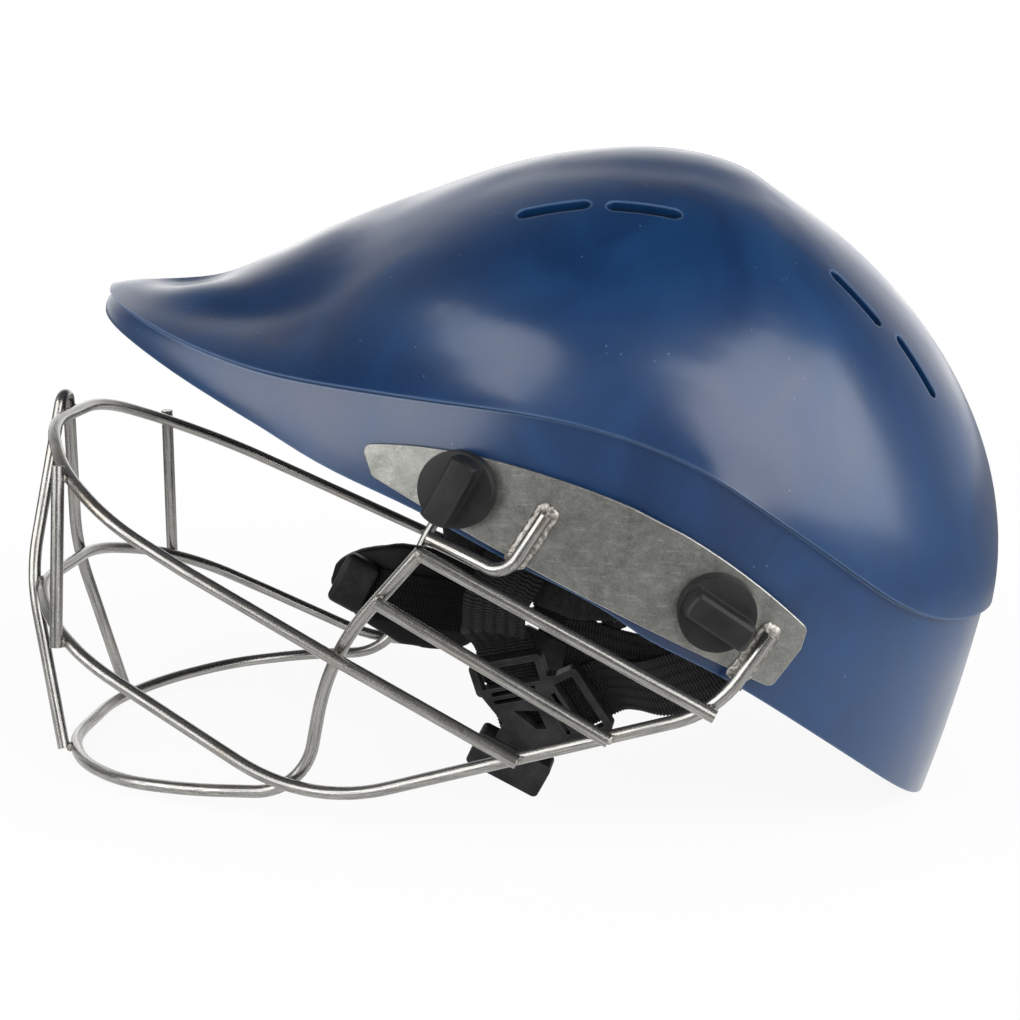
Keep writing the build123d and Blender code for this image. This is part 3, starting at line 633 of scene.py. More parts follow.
@dataclass(frozen=True)
class BrushedCloth(Finish):
    """Black brushed cloth laid over foam."""

    slot: Slot = Slot.FOAM
    name: str = "brushed_cloth"
    dark: Color = (0.005, 0.005, 0.0055)
    nap: Color = (0.028, 0.028, 0.030)
    fuzzes: Grain = Grain(2200.0, 3.0)
    lies: Grain = Grain(160.0, 4.0, 1.0)
    lie_stretch: Place = (1.0, 2.5, 1.0)
    pore_scale: float = 1100.0
    bump: float = 0.16 * MM

    def mix(self) -> None:
        """Mixes the material."""
        recipe = self.recipe
        fuzz, pores = recipe.grain(self.fuzzes), recipe.cells(self.pore_scale)
        lie = recipe.grain(self.lies, recipe.stretched(self.lie_stretch))
        tone = fuzz.between(0.3, 0.8) * 0.5 + lie.between(0.4, 0.8) * 0.4
        recipe.set(
            Base_Color=recipe.mixed(self.dark, self.nap, tone),
            Roughness=0.9,
            Specular_IOR_Level=0.05,
            Sheen_Weight=0.02,
            Sheen_Roughness=0.5,
            Normal=recipe.bumped(fuzz + lie + pores, self.bump),
        )


@dataclass(frozen=True)
class WovenBlack(Finish):
    """Black webbing with ribs across and yarns along, which follow the strip's own map; the rib
    tops are painted lighter as a highlight.
    """

    slot: Slot = Slot.WEBBING
    name: str = "woven_black"
    dark: Color = (0.0008, 0.0008, 0.001)
    # The lighter colour is the weave's own tone in the thread lines and fuzz, and a highlight
    # painted on the rib tops.
    yarn: Color = (0.026, 0.026, 0.027)
    yarns_per_rib: float = 1.8
    yarn_wander: float = 1.5
    fuzzes: Grain = Grain(2600.0)
    bump: float = 0.28 * MM

    def mix(self) -> None:
        """Mixes the material."""
        recipe = self.recipe
        parts = recipe.node("ShaderNodeSeparateXYZ", None, {0: recipe.coordinates("UV")})
        run, cross = Signal(recipe, parts.outputs[0]), Signal(recipe, parts.outputs[1])
        turn = math.tau / RIB_PITCH
        wander = (cross * (turn * RIB_RIPPLE)).wave() * RIB_WANDER
        rib = (run * turn + wander).wave() * 0.5 + 0.5
        lines = cross * (turn * self.yarns_per_rib) + rib * self.yarn_wander
        yarns = lines.wave() * 0.5 + 0.5
        fuzz = recipe.grain(self.fuzzes)
        # Rib tops are painted lighter as a highlight; the thread lines and fuzz are the weave's own
        # tone.
        tone = rib * rib * 0.45 + yarns * rib * rib * 0.35 + fuzz * 0.12
        recipe.set(
            Base_Color=recipe.mixed(self.dark, self.yarn, tone),
            Roughness=0.72 - rib * 0.14 + fuzz * 0.1,
            Specular_IOR_Level=0.10,
            Normal=recipe.bumped(rib * 0.8 + yarns * 0.5 + fuzz * 0.3, self.bump),
        )


NAVY = MouldedNavy()
SHEET = SheetSteel()
WIRE = DrawnWire()
WELD = WeldMetal()
KNOB = MouldedCharcoal()
# The buckle's edges get a stronger painted highlight than the knob's.
BUCKLE = MouldedCharcoal(
    Slot.BUCKLE,
    "moulded_charcoal_buckle_plastic",
    dark=(0.003, 0.003, 0.0033),
    worn=(0.060, 0.061, 0.064),
    wear=0.9,
    gloss=0.14,
)
PLATED = PlatedSteel()
RUBBER = BlackRubber()
CUP_RUBBER = BlackRubber(
    Slot.FOAM, "black_rubber_foam", dark=(0.003, 0.003, 0.0032), bloom=(0.011, 0.011, 0.0115)
)
CLOTH = BrushedCloth()
WOVEN = WovenBlack()


# Mesh work


def select_only(piece: Optional[Piece]) -> None:
    """Deselects everything, then selects one piece and makes it active.

    Args:
        piece: The piece, or None to leave nothing selected.
    """
    for other in bpy.context.view_layer.objects:
        other.select_set(False)
    bpy.context.view_layer.objects.active = piece
    if piece is not None:
        piece.select_set(True)


def apply_all(piece: Piece) -> None:
    """Applies every modifier of a piece, in order.

    Args:
        piece: The piece, which is left selected.
    """
    select_only(piece)
    for modifier in list(piece.modifiers):
        bpy.ops.object.modifier_apply(modifier=modifier.name)


def dress(piece: Piece, finish: Finish) -> None:
    """Gives a piece its one finish.

    Args:
        piece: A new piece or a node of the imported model.
        finish: What its surface is made of.
    """
    piece.data.materials.clear()
    piece.data.materials.append(finish.material)


def smooth(piece: Piece) -> None:
    """Shades a piece smooth all over."""
    select_only(piece)
    bpy.ops.object.shade_smooth()


def smooth_edges(piece: Piece, degrees: float) -> None:
    """Shades a piece smooth, but for edges sharper than an angle."""
    select_only(piece)
    bpy.ops.object.shade_smooth_by_angle(angle=math.radians(degrees))


def modify(piece: Piece, kind: str, **settings: Any) -> None:
    """Adds a modifier.

    Args:
        piece: The piece.
        kind: The modifier's type.
        settings: The modifier's settings.
    """
    modifier = piece.modifiers.new(kind.lower(), kind)
    for name, value in settings.items():
        setattr(modifier, name, value)


def bevel(piece: Piece, width: float, segments: int = 2, degrees: float = 35.0) -> None:
    """Rounds a piece's edges that are sharper than an angle.

    Args:
        piece: The piece.
        width: The rounding's width.
        segments: The flats that make it.
        degrees: The angle.
    """
    angle = math.radians(degrees)
    modify(piece, "BEVEL", width=width, segments=segments, limit_method="ANGLE", angle_limit=angle)


def place_new(piece: Piece, finish: Finish, body: str, *nodes: str) -> None:
    """Dresses a new piece and makes it ride on a body in place of nodes.

    Args:
        piece: The new piece.
        finish: What its surface is made of.
        body: The body that carries it.
        nodes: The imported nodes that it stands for.
    """
    dress(piece, finish)
    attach(piece, body)
    if nodes:
        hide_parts(*nodes)
    LOG.info("%s rides on %s", piece.name, body)


def merged_copy(node: Piece, name: str) -> Piece:
    """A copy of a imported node's mesh with its loose triangles joined.

    Args:
        node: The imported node.
        name: The new piece's name.

    Returns:
        The new piece.
    """
    copy = bpy.data.objects.new(name, node.data.copy())
    bpy.context.scene.collection.objects.link(copy)
    select_only(copy)
    bpy.ops.object.mode_set(mode="EDIT")
    bpy.ops.mesh.select_all(action="SELECT")
    bpy.ops.mesh.remove_doubles(threshold=0.01 * MM)
    bpy.ops.object.mode_set(mode="OBJECT")
    return copy


def corners(piece: Piece, value: str = "co") -> np.ndarray:
    """A piece's vertices as rows of x, y and z.

    Args:
        piece: The piece.
        value: What is read at each vertex, its place or its normal.

    Returns:
        The rows.
    """
    flat = np.empty(len(piece.data.vertices) * 3)
    piece.data.vertices.foreach_get(value, flat)
    return flat.reshape(-1, 3)


def move_corners(piece: Piece, places: np.ndarray) -> None:
    """Moves a piece's vertices to new places."""
    piece.data.vertices.foreach_set("co", np.ascontiguousarray(places, dtype=float).ravel())
    piece.data.update()


# The helmet's sub-assemblies


@dataclass
class MouldedShell:
    """The one-piece shell with its peak and band."""

    nodes: dict[str, Piece]

    def build(self) -> None:
        """Dresses the shell."""
        dress(self.nodes["shell"], NAVY)


@dataclass
class Padding:
    """Foam pads under brushed cloth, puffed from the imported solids."""

    nodes: dict[str, Piece]
    voxel: float = 4.0 * MM
    shrink: float = 1.2 * MM
    swell: float = 2.2 * MM
    pressure: float = 4.0
    quality: int = 4
    frames: int = 16
    relax: float = 0.5
    relax_rounds: int = 3
    fill: float = 0.8
    names: tuple[str, ...] = (
        "crown_liner",
        "brow_pad",
        "nape_pad",
        "temple_pad_left",
        "temple_pad_right",
    )

    def remesh(self, piece: Piece) -> None:
        """Turns a copied solid into an even mesh, a little smaller than it was.

        Args:
            piece: The copy.
        """
        modify(piece, "REMESH", mode="VOXEL", voxel_size=self.voxel)
        apply_all(piece)
        move_corners(piece, corners(piece) - corners(piece, "normal") * self.shrink)

    def puff(self, piece: Piece) -> None:
        """Blows a pad up as cloth under pressure and caps how far it swells.

        Args:
            piece: The evened pad.
        """
        start = corners(piece)
        cloth = piece.modifiers.new("cloth", "CLOTH").settings
        cloth.use_pressure = True
        cloth.uniform_pressure_force = self.pressure
        cloth.effector_weights.gravity = 0.0
        cloth.quality = self.quality
        for frame in range(1, self.frames + 1):
            bpy.context.scene.frame_set(frame)
        apply_all(piece)
        bpy.context.scene.frame_set(1)
        step = corners(piece) - start
        length = np.linalg.norm(step, axis=1, keepdims=True)
        capped = np.minimum(1.0, self.swell / np.maximum(length, TINY))
        move_corners(piece, start + step * capped)

    def finish(self, piece: Piece) -> None:
        """Evens out a pad's surface and shades it smooth.

        Args:
            piece: The puffed pad.
        """
        modify(piece, "SMOOTH", factor=self.relax, iterations=self.relax_rounds)
        modify(piece, "SUBSURF", levels=1, render_levels=1)
        apply_all(piece)
        smooth(piece)

    def build(self) -> None:
        """Builds every pad."""
        for name in self.names:
            piece = merged_copy(self.nodes[name], f"{name}_cover")
            self.remesh(piece)
            self.puff(piece)
            self.finish(piece)
            place_new(piece, CLOTH, "helmet", name)


@dataclass
class SidePlates:
    """The two sheet-steel plates that carry the guard."""

    nodes: dict[str, Piece]

    def build(self) -> None:
        """Dresses both plates."""
        for side in Side:
            dress(self.nodes[f"side_plate_{side.tail}"], SHEET)


@dataclass(frozen=True)
class Grip:
    """A clamp on the left side: its seat in mm, the way out, and the turn of its knob."""

    end: str
    seat: Place
    out: Place
    turn_degrees: float


@dataclass
class Clamps:
    """Four hand knobs with their screws, tee nuts and washers, and the strap rivets."""

    nodes: dict[str, Piece]
    rounding: float = 0.5 * MM
    rounding_flats: int = 3
    sharp_degrees: float = 40.0
    grips: tuple[Grip, ...] = (
        Grip("front", (107.561, -3.643, 120.371), (0.98331, -0.16435, 0.07801), 16.0),
        Grip("rear", (109.034, 75.579, 87.182), (0.98898, 0.13380, -0.06350), 24.0),
    )

    def knob(self, grip: Grip, side: Side) -> None:
        """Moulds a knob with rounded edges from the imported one, turned as it was left.

        Args:
            grip: The clamp.
            side: The wearer's side that it is on.
        """
        node = f"{grip.end}_knob_{side.tail}"
        piece = merged_copy(self.nodes[node], f"{grip.end}_grip_{side.tail}")
        seat, out = side.mirrored(grip.seat), side.mirrored(grip.out)
        turn = Matrix.Rotation(math.radians(grip.turn_degrees * side.value), 4, out)
        centre = Matrix.Translation(seat * MM)
        piece.data.transform(centre @ turn @ centre.inverted())
        bevel(piece, self.rounding, self.rounding_flats)
        apply_all(piece)
        smooth_edges(piece, self.sharp_degrees)
        place_new(piece, KNOB, f"{grip.end}_{side.tail}_clamp", node)

    def build(self) -> None:
        """Moulds the knobs and dresses the fixings."""
        for side in Side:
            for grip in self.grips:
                self.knob(grip, side)
                dress(self.nodes[f"{grip.end}_screw_{side.tail}"], PLATED)
        dress(self.nodes["tee_nuts"], PLATED)
        dress(self.nodes["strap_rivets"], PLATED)
        dress(self.nodes["rubber_washers"], RUBBER)


@dataclass
class Faceguard:
    """The welded wire guard: three rings, a centre bar, side bars and legs."""

    nodes: dict[str, Piece]
    reach: float = 0.9 * MM
    sample_step: float = 1.0 * MM
    bead_spacing: float = 5.0 * MM
    seam_spacing: float = 0.9 * MM
    bead_size: Place = (1.75 * MM, 1.75 * MM, 1.35 * MM)
    seam_size: Place = (2.75 * MM, 2.75 * MM, 0.9 * MM)
    bead_subdivisions: int = 3
    lumps: float = 0.35 * MM
    lump_scale: float = 2.1
    lump_shift: float = 900.0
    rings: tuple[str, ...] = ("upper_wire", "middle_wire", "lower_wire", "centre_bar")
    bars: tuple[str, ...] = ("short_bar", "mid_side_bar", "upper_side_bar", "front_leg")

    @property
    def wires(self) -> list[str]:
        """The names of all wires and bars."""
        return [*self.rings, *(f"{bar}_{side.tail}" for bar in self.bars for side in Side)]

    def samples(self, name: str) -> np.ndarray:
        """Points along the edges of a node's mesh, at an even step.

        Args:
            name: The node.

        Returns:
            The points, in rows.
        """
        mesh = self.nodes[name].data
        places = corners(self.nodes[name])
        ends = np.empty(len(mesh.edges) * 2, dtype=int)
        mesh.edges.foreach_get("vertices", ends)
        start, end = places[ends[0::2]], places[ends[1::2]]
        counts = np.ceil(np.linalg.norm(end - start, axis=1) / self.sample_step).astype(int)
        found = [places]
        for row in np.flatnonzero(counts > 1):
            shares = np.arange(1, counts[row])[:, None] / counts[row]
            found.append(start[row] + shares * (end[row] - start[row]))
        return np.concatenate(found)

    def contacts(self, first: str, second: str, spacing: float) -> list[tuple[Vector, Vector]]:
        """Finds where two nodes meet.

        Args:
            first: The node that is followed along its edges.
            second: The other node.
            spacing: The least distance between two places.

        Returns:
            Middles of the gaps between them, and the way across each.
        """
        tree = BVHTree.FromPolygons(
            [v.co for v in self.nodes[second].data.vertices],
            [tuple(p.vertices) for p in self.nodes[second].data.polygons],
        )
        low, high = (np.array(corner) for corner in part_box(second))
        points = self.samples(first)
        near = points[np.all((points > low - self.reach) & (points < high + self.reach), axis=1)]
        hits: list[tuple[float, Vector, Vector]] = []
        for point in near:
            spot, _, _, gap = tree.find_nearest(Vector(point), self.reach)
            if spot is not None:
                hits.append((gap, (Vector(point) + spot) / 2, Vector(point) - spot))
        kept: list[tuple[Vector, Vector]] = []
        for gap, middle, across in sorted(hits, key=lambda hit: hit[0]):
            if all((middle - other).length > spacing for other, _ in kept):
                kept.append((middle, across))
        return kept

    def bead(self, name: str, middle: Vector, across: Vector, size: Place) -> Piece:
        """One lumpy weld bead.

        Args:
            name: The piece's name.
            middle: Its middle.
            across: The direction from one wire to the other.
            size: Its half sizes, the last of them the way across.

        Returns:
            The bead.
        """
        select_only(None)
        bpy.ops.mesh.primitive_ico_sphere_add(subdivisions=self.bead_subdivisions, radius=1.0)
        piece = bpy.context.object
        piece.name = name
        turn = Matrix.Identity(3)
        if across.length > 0:
            turn = across.to_track_quat("Z", "Y").to_matrix()
        places = []
        for row in corners(piece):
            unit = Vector(row)
            bulge = noise.noise((unit * self.lump_scale) + middle * self.lump_shift)
            lump = 1.0 + self.lumps / size[0] * bulge
            places.append(middle + turn @ Vector(a * b * lump for a, b in zip(unit, size)))
        move_corners(piece, np.array(places))
        bpy.ops.object.shade_smooth()
        return piece

    def weld(self) -> None:
        """Lays weld beads wherever two wires, or a wire and a plate, meet, joined as one piece."""
        plates = [f"side_plate_{side.tail}" for side in Side]
        seams, spots = (self.seam_spacing, self.seam_size), (self.bead_spacing, self.bead_size)
        names = self.wires
        beads: list[Piece] = []
        for row, first in enumerate(names):
            for second in names[row + 1 :] + plates:
                spacing, size = seams if second in plates else spots
                for middle, across in self.contacts(first, second, spacing):
                    beads.append(self.bead(f"bead_{len(beads)}", middle, across, size))
        LOG.info("%d weld beads", len(beads))
        if not beads:
            return
        select_only(beads[0])
        for bead in beads:
            bead.select_set(True)
        bpy.ops.object.join()
        piece = bpy.context.object
        piece.name = "weld_beads"
        place_new(piece, WELD, "helmet")

    def build(self) -> None:
        """Dresses the wires and welds them."""
        for name in self.wires:
            dress(self.nodes[name], WIRE)
        self.weld()


@dataclass(frozen=True)
class Stop:
    """A place on a strap's route and the direction of its width there."""

    place: Place
    across: Place


def level(across: Place, *places: Place) -> tuple[Stop, ...]:
    """Stops one after another at which the strap's width lies the same way."""
    return tuple(Stop(place, across) for place in places)


@dataclass
class Ribbon:
    """A strip of ribbed webbing along a route."""

    name: str
    stops: tuple[Stop, ...]
    width: float = 20.0 * MM
    thick: float = 1.45 * MM
    rib: float = 0.15 * MM
    fray: float = 0.24 * MM
    fray_from: float = 0.48
    steps_per_rib: int = 4
    columns: int = 26
    knots: int = 600
    look: float = 0.004
    sharp_degrees: float = 50.0

    def route(self, share: np.ndarray, side: Side) -> tuple[np.ndarray, np.ndarray, float]:
        """The strip's middle line and its width's direction at shares of its length.

        Args:
            share: Shares of the length, rising from nought to one.
            side: The wearer's side that it lies on.

        Returns:
            Middles, directions across, and the whole length.
        """
        flip = np.array([side.value, 1.0, 1.0])
        middles = np.array([stop.place for stop in self.stops]) * MM * flip
        widths = np.array([stop.across for stop in self.stops]) * flip
        marks = self.run(middles)
        keys = np.hstack([middles, widths])
        slopes = np.gradient(keys, marks, axis=0)
        fine = np.linspace(0.0, marks[-1], self.knots)
        row = np.clip(np.searchsorted(marks, fine, side="right") - 1, 0, len(marks) - 2)
        span = (marks[row + 1] - marks[row])[:, None]
        t = (fine - marks[row])[:, None] / span
        curve = (
            (2 * t**3 - 3 * t**2 + 1) * keys[row]
            + (t**3 - 2 * t**2 + t) * span * slopes[row]
            + (3 * t**2 - 2 * t**3) * keys[row + 1]
            + (t**3 - t**2) * span * slopes[row + 1]
        )
        gone = self.run(curve[:, :3])
        found = np.stack([np.interp(share * gone[-1], gone, key) for key in curve.T], axis=1)
        return found[:, :3], found[:, 3:], float(gone[-1])

    @staticmethod
    def run(places: np.ndarray) -> np.ndarray:
        """The distance gone at each of a row of places."""
        steps = np.linalg.norm(np.diff(places, axis=0), axis=1)
        return np.concatenate([[0.0], np.cumsum(steps)])

    def build(self, side: Side, *nodes: str) -> None:
        """Builds the strip on one side.

        Args:
            side: The wearer's side that it lies on.
            nodes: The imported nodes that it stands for.
        """
        length = self.route(np.array([0.0, 1.0]), side)[2]
        rows = int(length / RIB_PITCH * self.steps_per_rib)
        select_only(None)
        bpy.ops.mesh.primitive_grid_add(
            x_subdivisions=rows, y_subdivisions=self.columns, size=1.0
        )
        piece = bpy.context.object
        piece.name = f"{self.name}_{side.tail}"
        flat = corners(piece)
        share, cross = flat[:, 0] + 0.5, flat[:, 1]
        middles, widths, _ = self.route(share, side)
        ahead = self.route(np.clip(share + self.look, 0.0, 1.0), side)[0]
        behind = self.route(np.clip(share - self.look, 0.0, 1.0), side)[0]
        tangents = ahead - behind
        tangents /= np.linalg.norm(tangents, axis=1, keepdims=True)
        widths -= tangents * np.sum(widths * tangents, axis=1, keepdims=True)
        widths /= np.linalg.norm(widths, axis=1, keepdims=True)
        normals = np.cross(tangents, widths)
        turn = math.tau / RIB_PITCH
        wander = RIB_WANDER * np.sin(cross * self.width * turn * RIB_RIPPLE)
        wave = np.sin(share * length * turn + wander)
        edge = np.abs(cross) > self.fray_from
        half = cross * self.width + np.sign(cross) * edge * wave * self.fray
        ribs = (wave * self.rib * ~edge)[:, None]
        move_corners(piece, middles + widths * half[:, None] + normals * ribs)
        self.map_out(piece, length)
        modify(piece, "SOLIDIFY", thickness=self.thick, offset=0.0)
        apply_all(piece)
        smooth_edges(piece, self.sharp_degrees)
        place_new(piece, WOVEN, "helmet", *nodes)

    def map_out(self, piece: Piece, length: float) -> None:
        """Scales the grid's own UV map to metres along and across the strip.

        Args:
            piece: The strip.
            length: Its length.
        """
        layer = piece.data.uv_layers.active.data
        flat = np.empty(len(layer) * 2)
        layer.foreach_get("uv", flat)
        flat[0::2] *= length
        flat[1::2] *= self.width
        layer.foreach_set("uv", flat)


@dataclass
class Harness:
    """Straps, dividers, buckle hood and chin cup. Places and the hood's size are mm."""

    nodes: dict[str, Piece]
    front: tuple[Stop, ...] = (
        *level(
            (0.04, 0.98, -0.20), (103.0, 17.0, 116.7), (102.5, 15.2, 107.6), (101.4, 12.5, 94.4),
        ),
        *level((0.00, 0.98, -0.20), (100.0, 7.3, 83.7), (92.0, 5.6, 72.3)),
        *level(
            (0.14, 0.95, 0.27), (76.8, 3.8, 67.6), (69.9, 6.6, 61.3), (69.3, 7.6, 57.9),
            (68.8, 9.4, 52.2), (67.7, 11.5, 45.4), (66.6, 13.9, 38.0), (65.6, 16.0, 31.0),
        ),
    )
    rear: tuple[Stop, ...] = (
        Stop((95.4, 97.4, 78.5), (-0.30, 0.53, -0.79)),
        Stop((97.4, 88.6, 72.7), (-0.25, 0.54, -0.81)),
        Stop((99.0, 76.0, 64.3), (-0.19, 0.54, -0.82)),
        *level((0.00, 0.55, -0.83), (94.6, 67.4, 59.5), (87.6, 58.1, 54.2)),
        *level(
            (-0.11, 0.54, -0.83), (77.8, 47.3, 51.8), (70.7, 41.3, 48.9), (70.0, 38.3, 47.0),
            (69.4, 33.3, 43.8), (68.1, 27.3, 40.0),
        ),
    )
    chin: tuple[Stop, ...] = (
        *level((0.00, 0.90, -0.43), (65.8, 9.0, 18.4), (64.1, 5.6, 11.3)),
        Stop((53.3, -4.9, 14.3), (0.00, 0.94, 0.34)),
        *level(
            (0.00, 0.13, 0.99), (31.4, -11.7, 45.7), (26.6, -24.0, 47.3), (24.3, -36.3, 48.9),
            (24.3, -48.6, 50.5), (26.6, -60.9, 52.1),
        ),
    )
    loose: tuple[Stop, ...] = (
        Stop((97.0, 88.0, 79.0), (-0.20, 0.45, -0.87)),
        Stop((92.0, 74.0, 69.0), (-0.15, 0.40, -0.90)),
        Stop((84.5, 60.0, 61.0), (-0.05, 0.30, -0.95)),
        Stop((76.0, 47.0, 59.5), (0.00, 0.20, -0.98)),
        Stop((69.5, 36.0, 60.0), (0.05, 0.10, -0.99)),
        Stop((66.5, 27.0, 60.5), (0.05, 0.05, -0.99)),
    )
    hood_place: Place = (-24.8, -62.5, 55.0)
    hood_size: Place = (7.0, 14.0, 21.0)
    hood_lean_degrees: float = -26.0
    hood_rounding: float = 2.6 * MM
    hood_flats: int = 5
    hood_sharp_degrees: float = 60.0
    divider_rounding: float = 0.45 * MM
    cup_voxel: float = 1.6 * MM
    cup_relax: float = 0.5
    cup_relax_rounds: int = 6
    cup_taper_start: float = -45.0 * MM
    cup_taper_reach: float = 28.0 * MM
    cup_middle: float = 50.0 * MM
    cup_rise: float = 8.0 * MM
    cup_narrowing: float = 0.5

    def cup(self) -> None:
        """Moulds the chin cup, soft at its edges and drawn in towards the buckle."""
        piece = merged_copy(self.nodes["chin_cup"], "chin_cup_moulded")
        modify(piece, "REMESH", mode="VOXEL", voxel_size=self.cup_voxel)
        modify(piece, "SMOOTH", factor=self.cup_relax, iterations=self.cup_relax_rounds)
        apply_all(piece)
        places = corners(piece)
        drawn = np.clip((self.cup_taper_start - places[:, 1]) / self.cup_taper_reach, 0.0, 1.0)
        middle = self.cup_middle + self.cup_rise * drawn
        places[:, 2] = middle + (places[:, 2] - middle) * (1.0 - self.cup_narrowing * drawn)
        move_corners(piece, places)
        smooth(piece)
        place_new(piece, CUP_RUBBER, "helmet", "chin_cup")

    def hood(self) -> None:
        """Moulds the buckle's closed hood on the cup's front end."""
        select_only(None)
        bpy.ops.mesh.primitive_cube_add(size=1.0)
        piece = bpy.context.object
        piece.name = "buckle_hood"
        lean = Matrix.Rotation(math.radians(self.hood_lean_degrees), 3, "X")
        size, place = np.array(self.hood_size), Vector(self.hood_place)
        places = [(place + lean @ Vector(row * size)) * MM for row in corners(piece)]
        move_corners(piece, np.array(places))
        bevel(piece, self.hood_rounding, self.hood_flats)
        apply_all(piece)
        smooth_edges(piece, self.hood_sharp_degrees)
        place_new(piece, BUCKLE, "helmet", "buckle_plug")

    def build(self) -> None:
        """Weaves the straps and dresses the moulded pieces."""
        for side in Side:
            Ribbon("front_webbing", self.front).build(side, f"front_strap_{side.tail}")
            Ribbon("rear_webbing", self.rear).build(side, f"rear_strap_{side.tail}")
            Ribbon("loose_webbing", self.loose).build(side)
            divider = self.nodes[f"strap_divider_{side.tail}"]
            bevel(divider, self.divider_rounding)
            dress(divider, BUCKLE)
        Ribbon("chin_webbing", self.chin).build(Side.RIGHT, "chin_strap")
        self.cup()
        self.hood()


# The studio


@dataclass(frozen=True)
class Lamp:
    """A soft box, or a fill that no gloss shows."""

    name: str
    place: Place
    aim: Place
    width: float
    height: float
    radiance: float
    mirrored: bool = True

    def hang(self) -> None:
        """Adds the light, facing its aim."""
        light = bpy.data.lights.new(self.name, "AREA")
        light.shape = "RECTANGLE"
        light.size = self.width
        light.size_y = self.height
        light.energy = self.radiance * math.pi * self.width * self.height
        lamp = bpy.data.objects.new(self.name, light)
        bpy.context.scene.collection.objects.link(lamp)
        lamp.location = self.place
        towards = Vector(self.aim) - Vector(self.place)
        lamp.rotation_euler = towards.to_track_quat("-Z", "Y").to_euler()
        lamp.visible_glossy = self.mirrored
        lamp.visible_camera = False


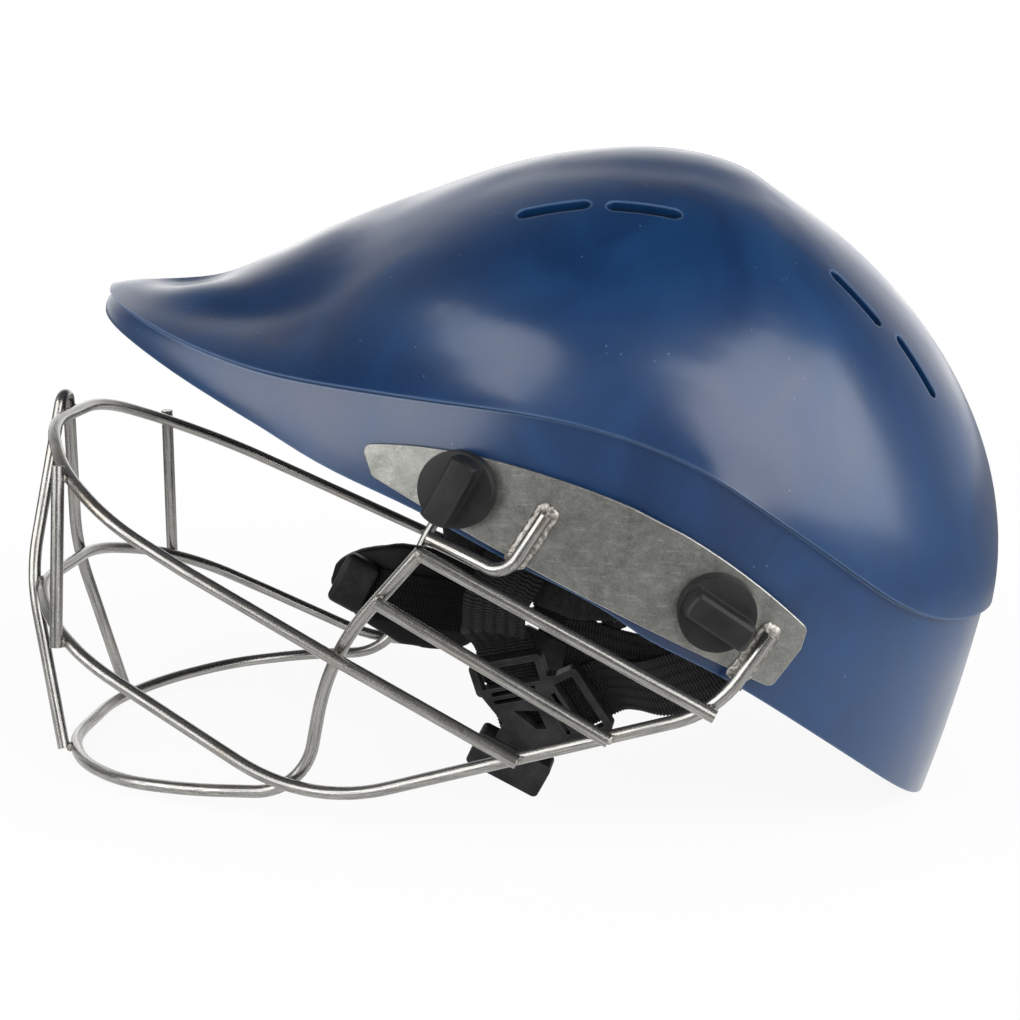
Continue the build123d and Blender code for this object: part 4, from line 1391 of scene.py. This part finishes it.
@dataclass
class Studio:
    """Camera, pale floor, world and lights."""

    eye: Place = (0.68124, 0.07491, 0.23399)
    aim: Place = (0.0, -0.00033, 0.09168)
    lean_degrees: float = 1.6
    lens: float = 67.76
    sensor: float = 36.0
    clip: float = 0.01
    room: float = 0.05
    near_wall: float = 0.15
    far_wall: float = 1.75
    wall_turn: Span = (-0.95, -0.35)
    ceiling: Span = (0.25, 0.80)
    ceiling_tilt: float = 0.5
    floor_size: float = 12.0
    floor_color: Color = (0.9, 0.9, 0.9)
    floor_white: float = 0.92
    shadow_reach: Span = (0.15, 0.55)
    table_reach: Span = (0.25, 0.42)
    table_end: float = 0.22
    lamps: tuple[Lamp, ...] = (
        Lamp("front_box", (0.88, -1.08, 0.52), (0.0, 0.0, 0.12), 1.50, 1.05, 3.8),
        Lamp("rear_box", (0.76, 1.08, 0.60), (0.0, 0.0, 0.12), 2.20, 1.25, 4.2),
        Lamp("overhead_fill", (0.20, -0.10, 1.60), (0.0, 0.0, 0.10), 1.20, 1.20, 0.4, False),
        Lamp("far_fill", (-1.30, -0.20, 0.90), (0.0, 0.0, 0.10), 1.20, 0.90, 0.6, False),
    )

    def set_camera(self) -> None:
        """Sets the camera where the photograph was taken from."""
        lens = bpy.data.cameras.new("studio_camera")
        lens.lens = self.lens
        lens.sensor_width = self.sensor
        lens.clip_start = self.clip
        camera = bpy.data.objects.new("studio_camera", lens)
        bpy.context.scene.collection.objects.link(camera)
        lean = math.radians(self.lean_degrees)
        back = (Vector(self.eye) - Vector(self.aim)).normalized()
        right = Vector((0.0, -math.sin(lean), math.cos(lean))).cross(back).normalized()
        up = back.cross(right)
        turn = Matrix((right, up, back)).transposed().to_4x4()
        camera.matrix_world = Matrix.Translation(self.eye) @ turn
        bpy.context.scene.camera = camera

    def light_world(self) -> None:
        """Gives the world a bright far wall, dim elsewhere, and white where it is seen directly."""
        world = bpy.data.worlds.new("studio_world")
        bpy.context.scene.world = world
        recipe = Recipe(world)
        recipe.tree.nodes.clear()
        parts = recipe.node("ShaderNodeSeparateXYZ", None, {0: recipe.coordinates("Generated")})
        towards, aft, up = (Signal(recipe, output) for output in parts.outputs)
        above = up + aft * self.ceiling_tilt
        far = 1.0 - towards.between(*self.wall_turn)
        wall = far * (self.far_wall - self.near_wall) + self.near_wall
        glow = wall * (1.0 - above.between(*self.ceiling)) + self.room
        seen = recipe.ray("Camera").larger(recipe.ray("Transmission"))
        values = {"Color": WHITE, "Strength": glow.larger(seen)}
        light = recipe.node("ShaderNodeBackground", None, values)
        out = recipe.node("ShaderNodeOutputWorld")
        recipe.tree.links.new(light.outputs[0], out.inputs[0])

    def lay_floor(self) -> None:
        """Lays the white floor, which keeps a faint shadow round the object."""
        select_only(None)
        bpy.ops.mesh.primitive_plane_add(size=self.floor_size, location=(0.0, 0.0, 0.0))
        floor = bpy.context.object
        floor.name = "studio_floor"
        recipe = Recipe(bpy.data.materials.new("studio_white"))
        recipe.set(Base_Color=self.floor_color, Roughness=1.0, Specular_IOR_Level=0.0)
        away = recipe.node("ShaderNodeVectorMath", {"operation": "LENGTH"}, {0: recipe.here})
        distance = Signal(recipe, away.outputs["Value"])
        far, faint = distance.between(*self.table_reach), distance.between(*self.shadow_reach)
        white, dim = (
            recipe.node("ShaderNodeEmission", None, {"Color": WHITE, "Strength": light}).outputs[0]
            for light in (1.0, self.table_end)
        )
        share = recipe.ray("Camera") * (faint * (1.0 - self.floor_white) + self.floor_white)
        seen = recipe.blended(recipe.shader.outputs[0], white, share)
        mirrored = recipe.blended(white, dim, far)
        whole = recipe.blended(seen, mirrored, recipe.ray("Glossy"))
        recipe.tree.links.new(whole, recipe.tree.nodes["Material Output"].inputs[0])
        floor.data.materials.append(recipe.owner)

    def build(self) -> None:
        """Sets up the studio."""
        self.set_camera()
        self.light_world()
        self.lay_floor()
        for lamp in self.lamps:
            lamp.hang()
        bpy.context.scene.view_settings.view_transform = "Standard"


def main() -> None:
    """Builds the studio and every sub-assembly."""
    logging.basicConfig(level=logging.INFO, format="%(name)s: %(message)s")
    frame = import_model()
    nodes = frame["nodes"]
    Studio().build()
    for assembly in (
        MouldedShell(nodes),
        SidePlates(nodes),
        Clamps(nodes),
        Faceguard(nodes),
        Padding(nodes),
        Harness(nodes),
    ):
        assembly.build()
        LOG.info("%s is done", type(assembly).__name__)


if __name__ == "__main__":
    main()
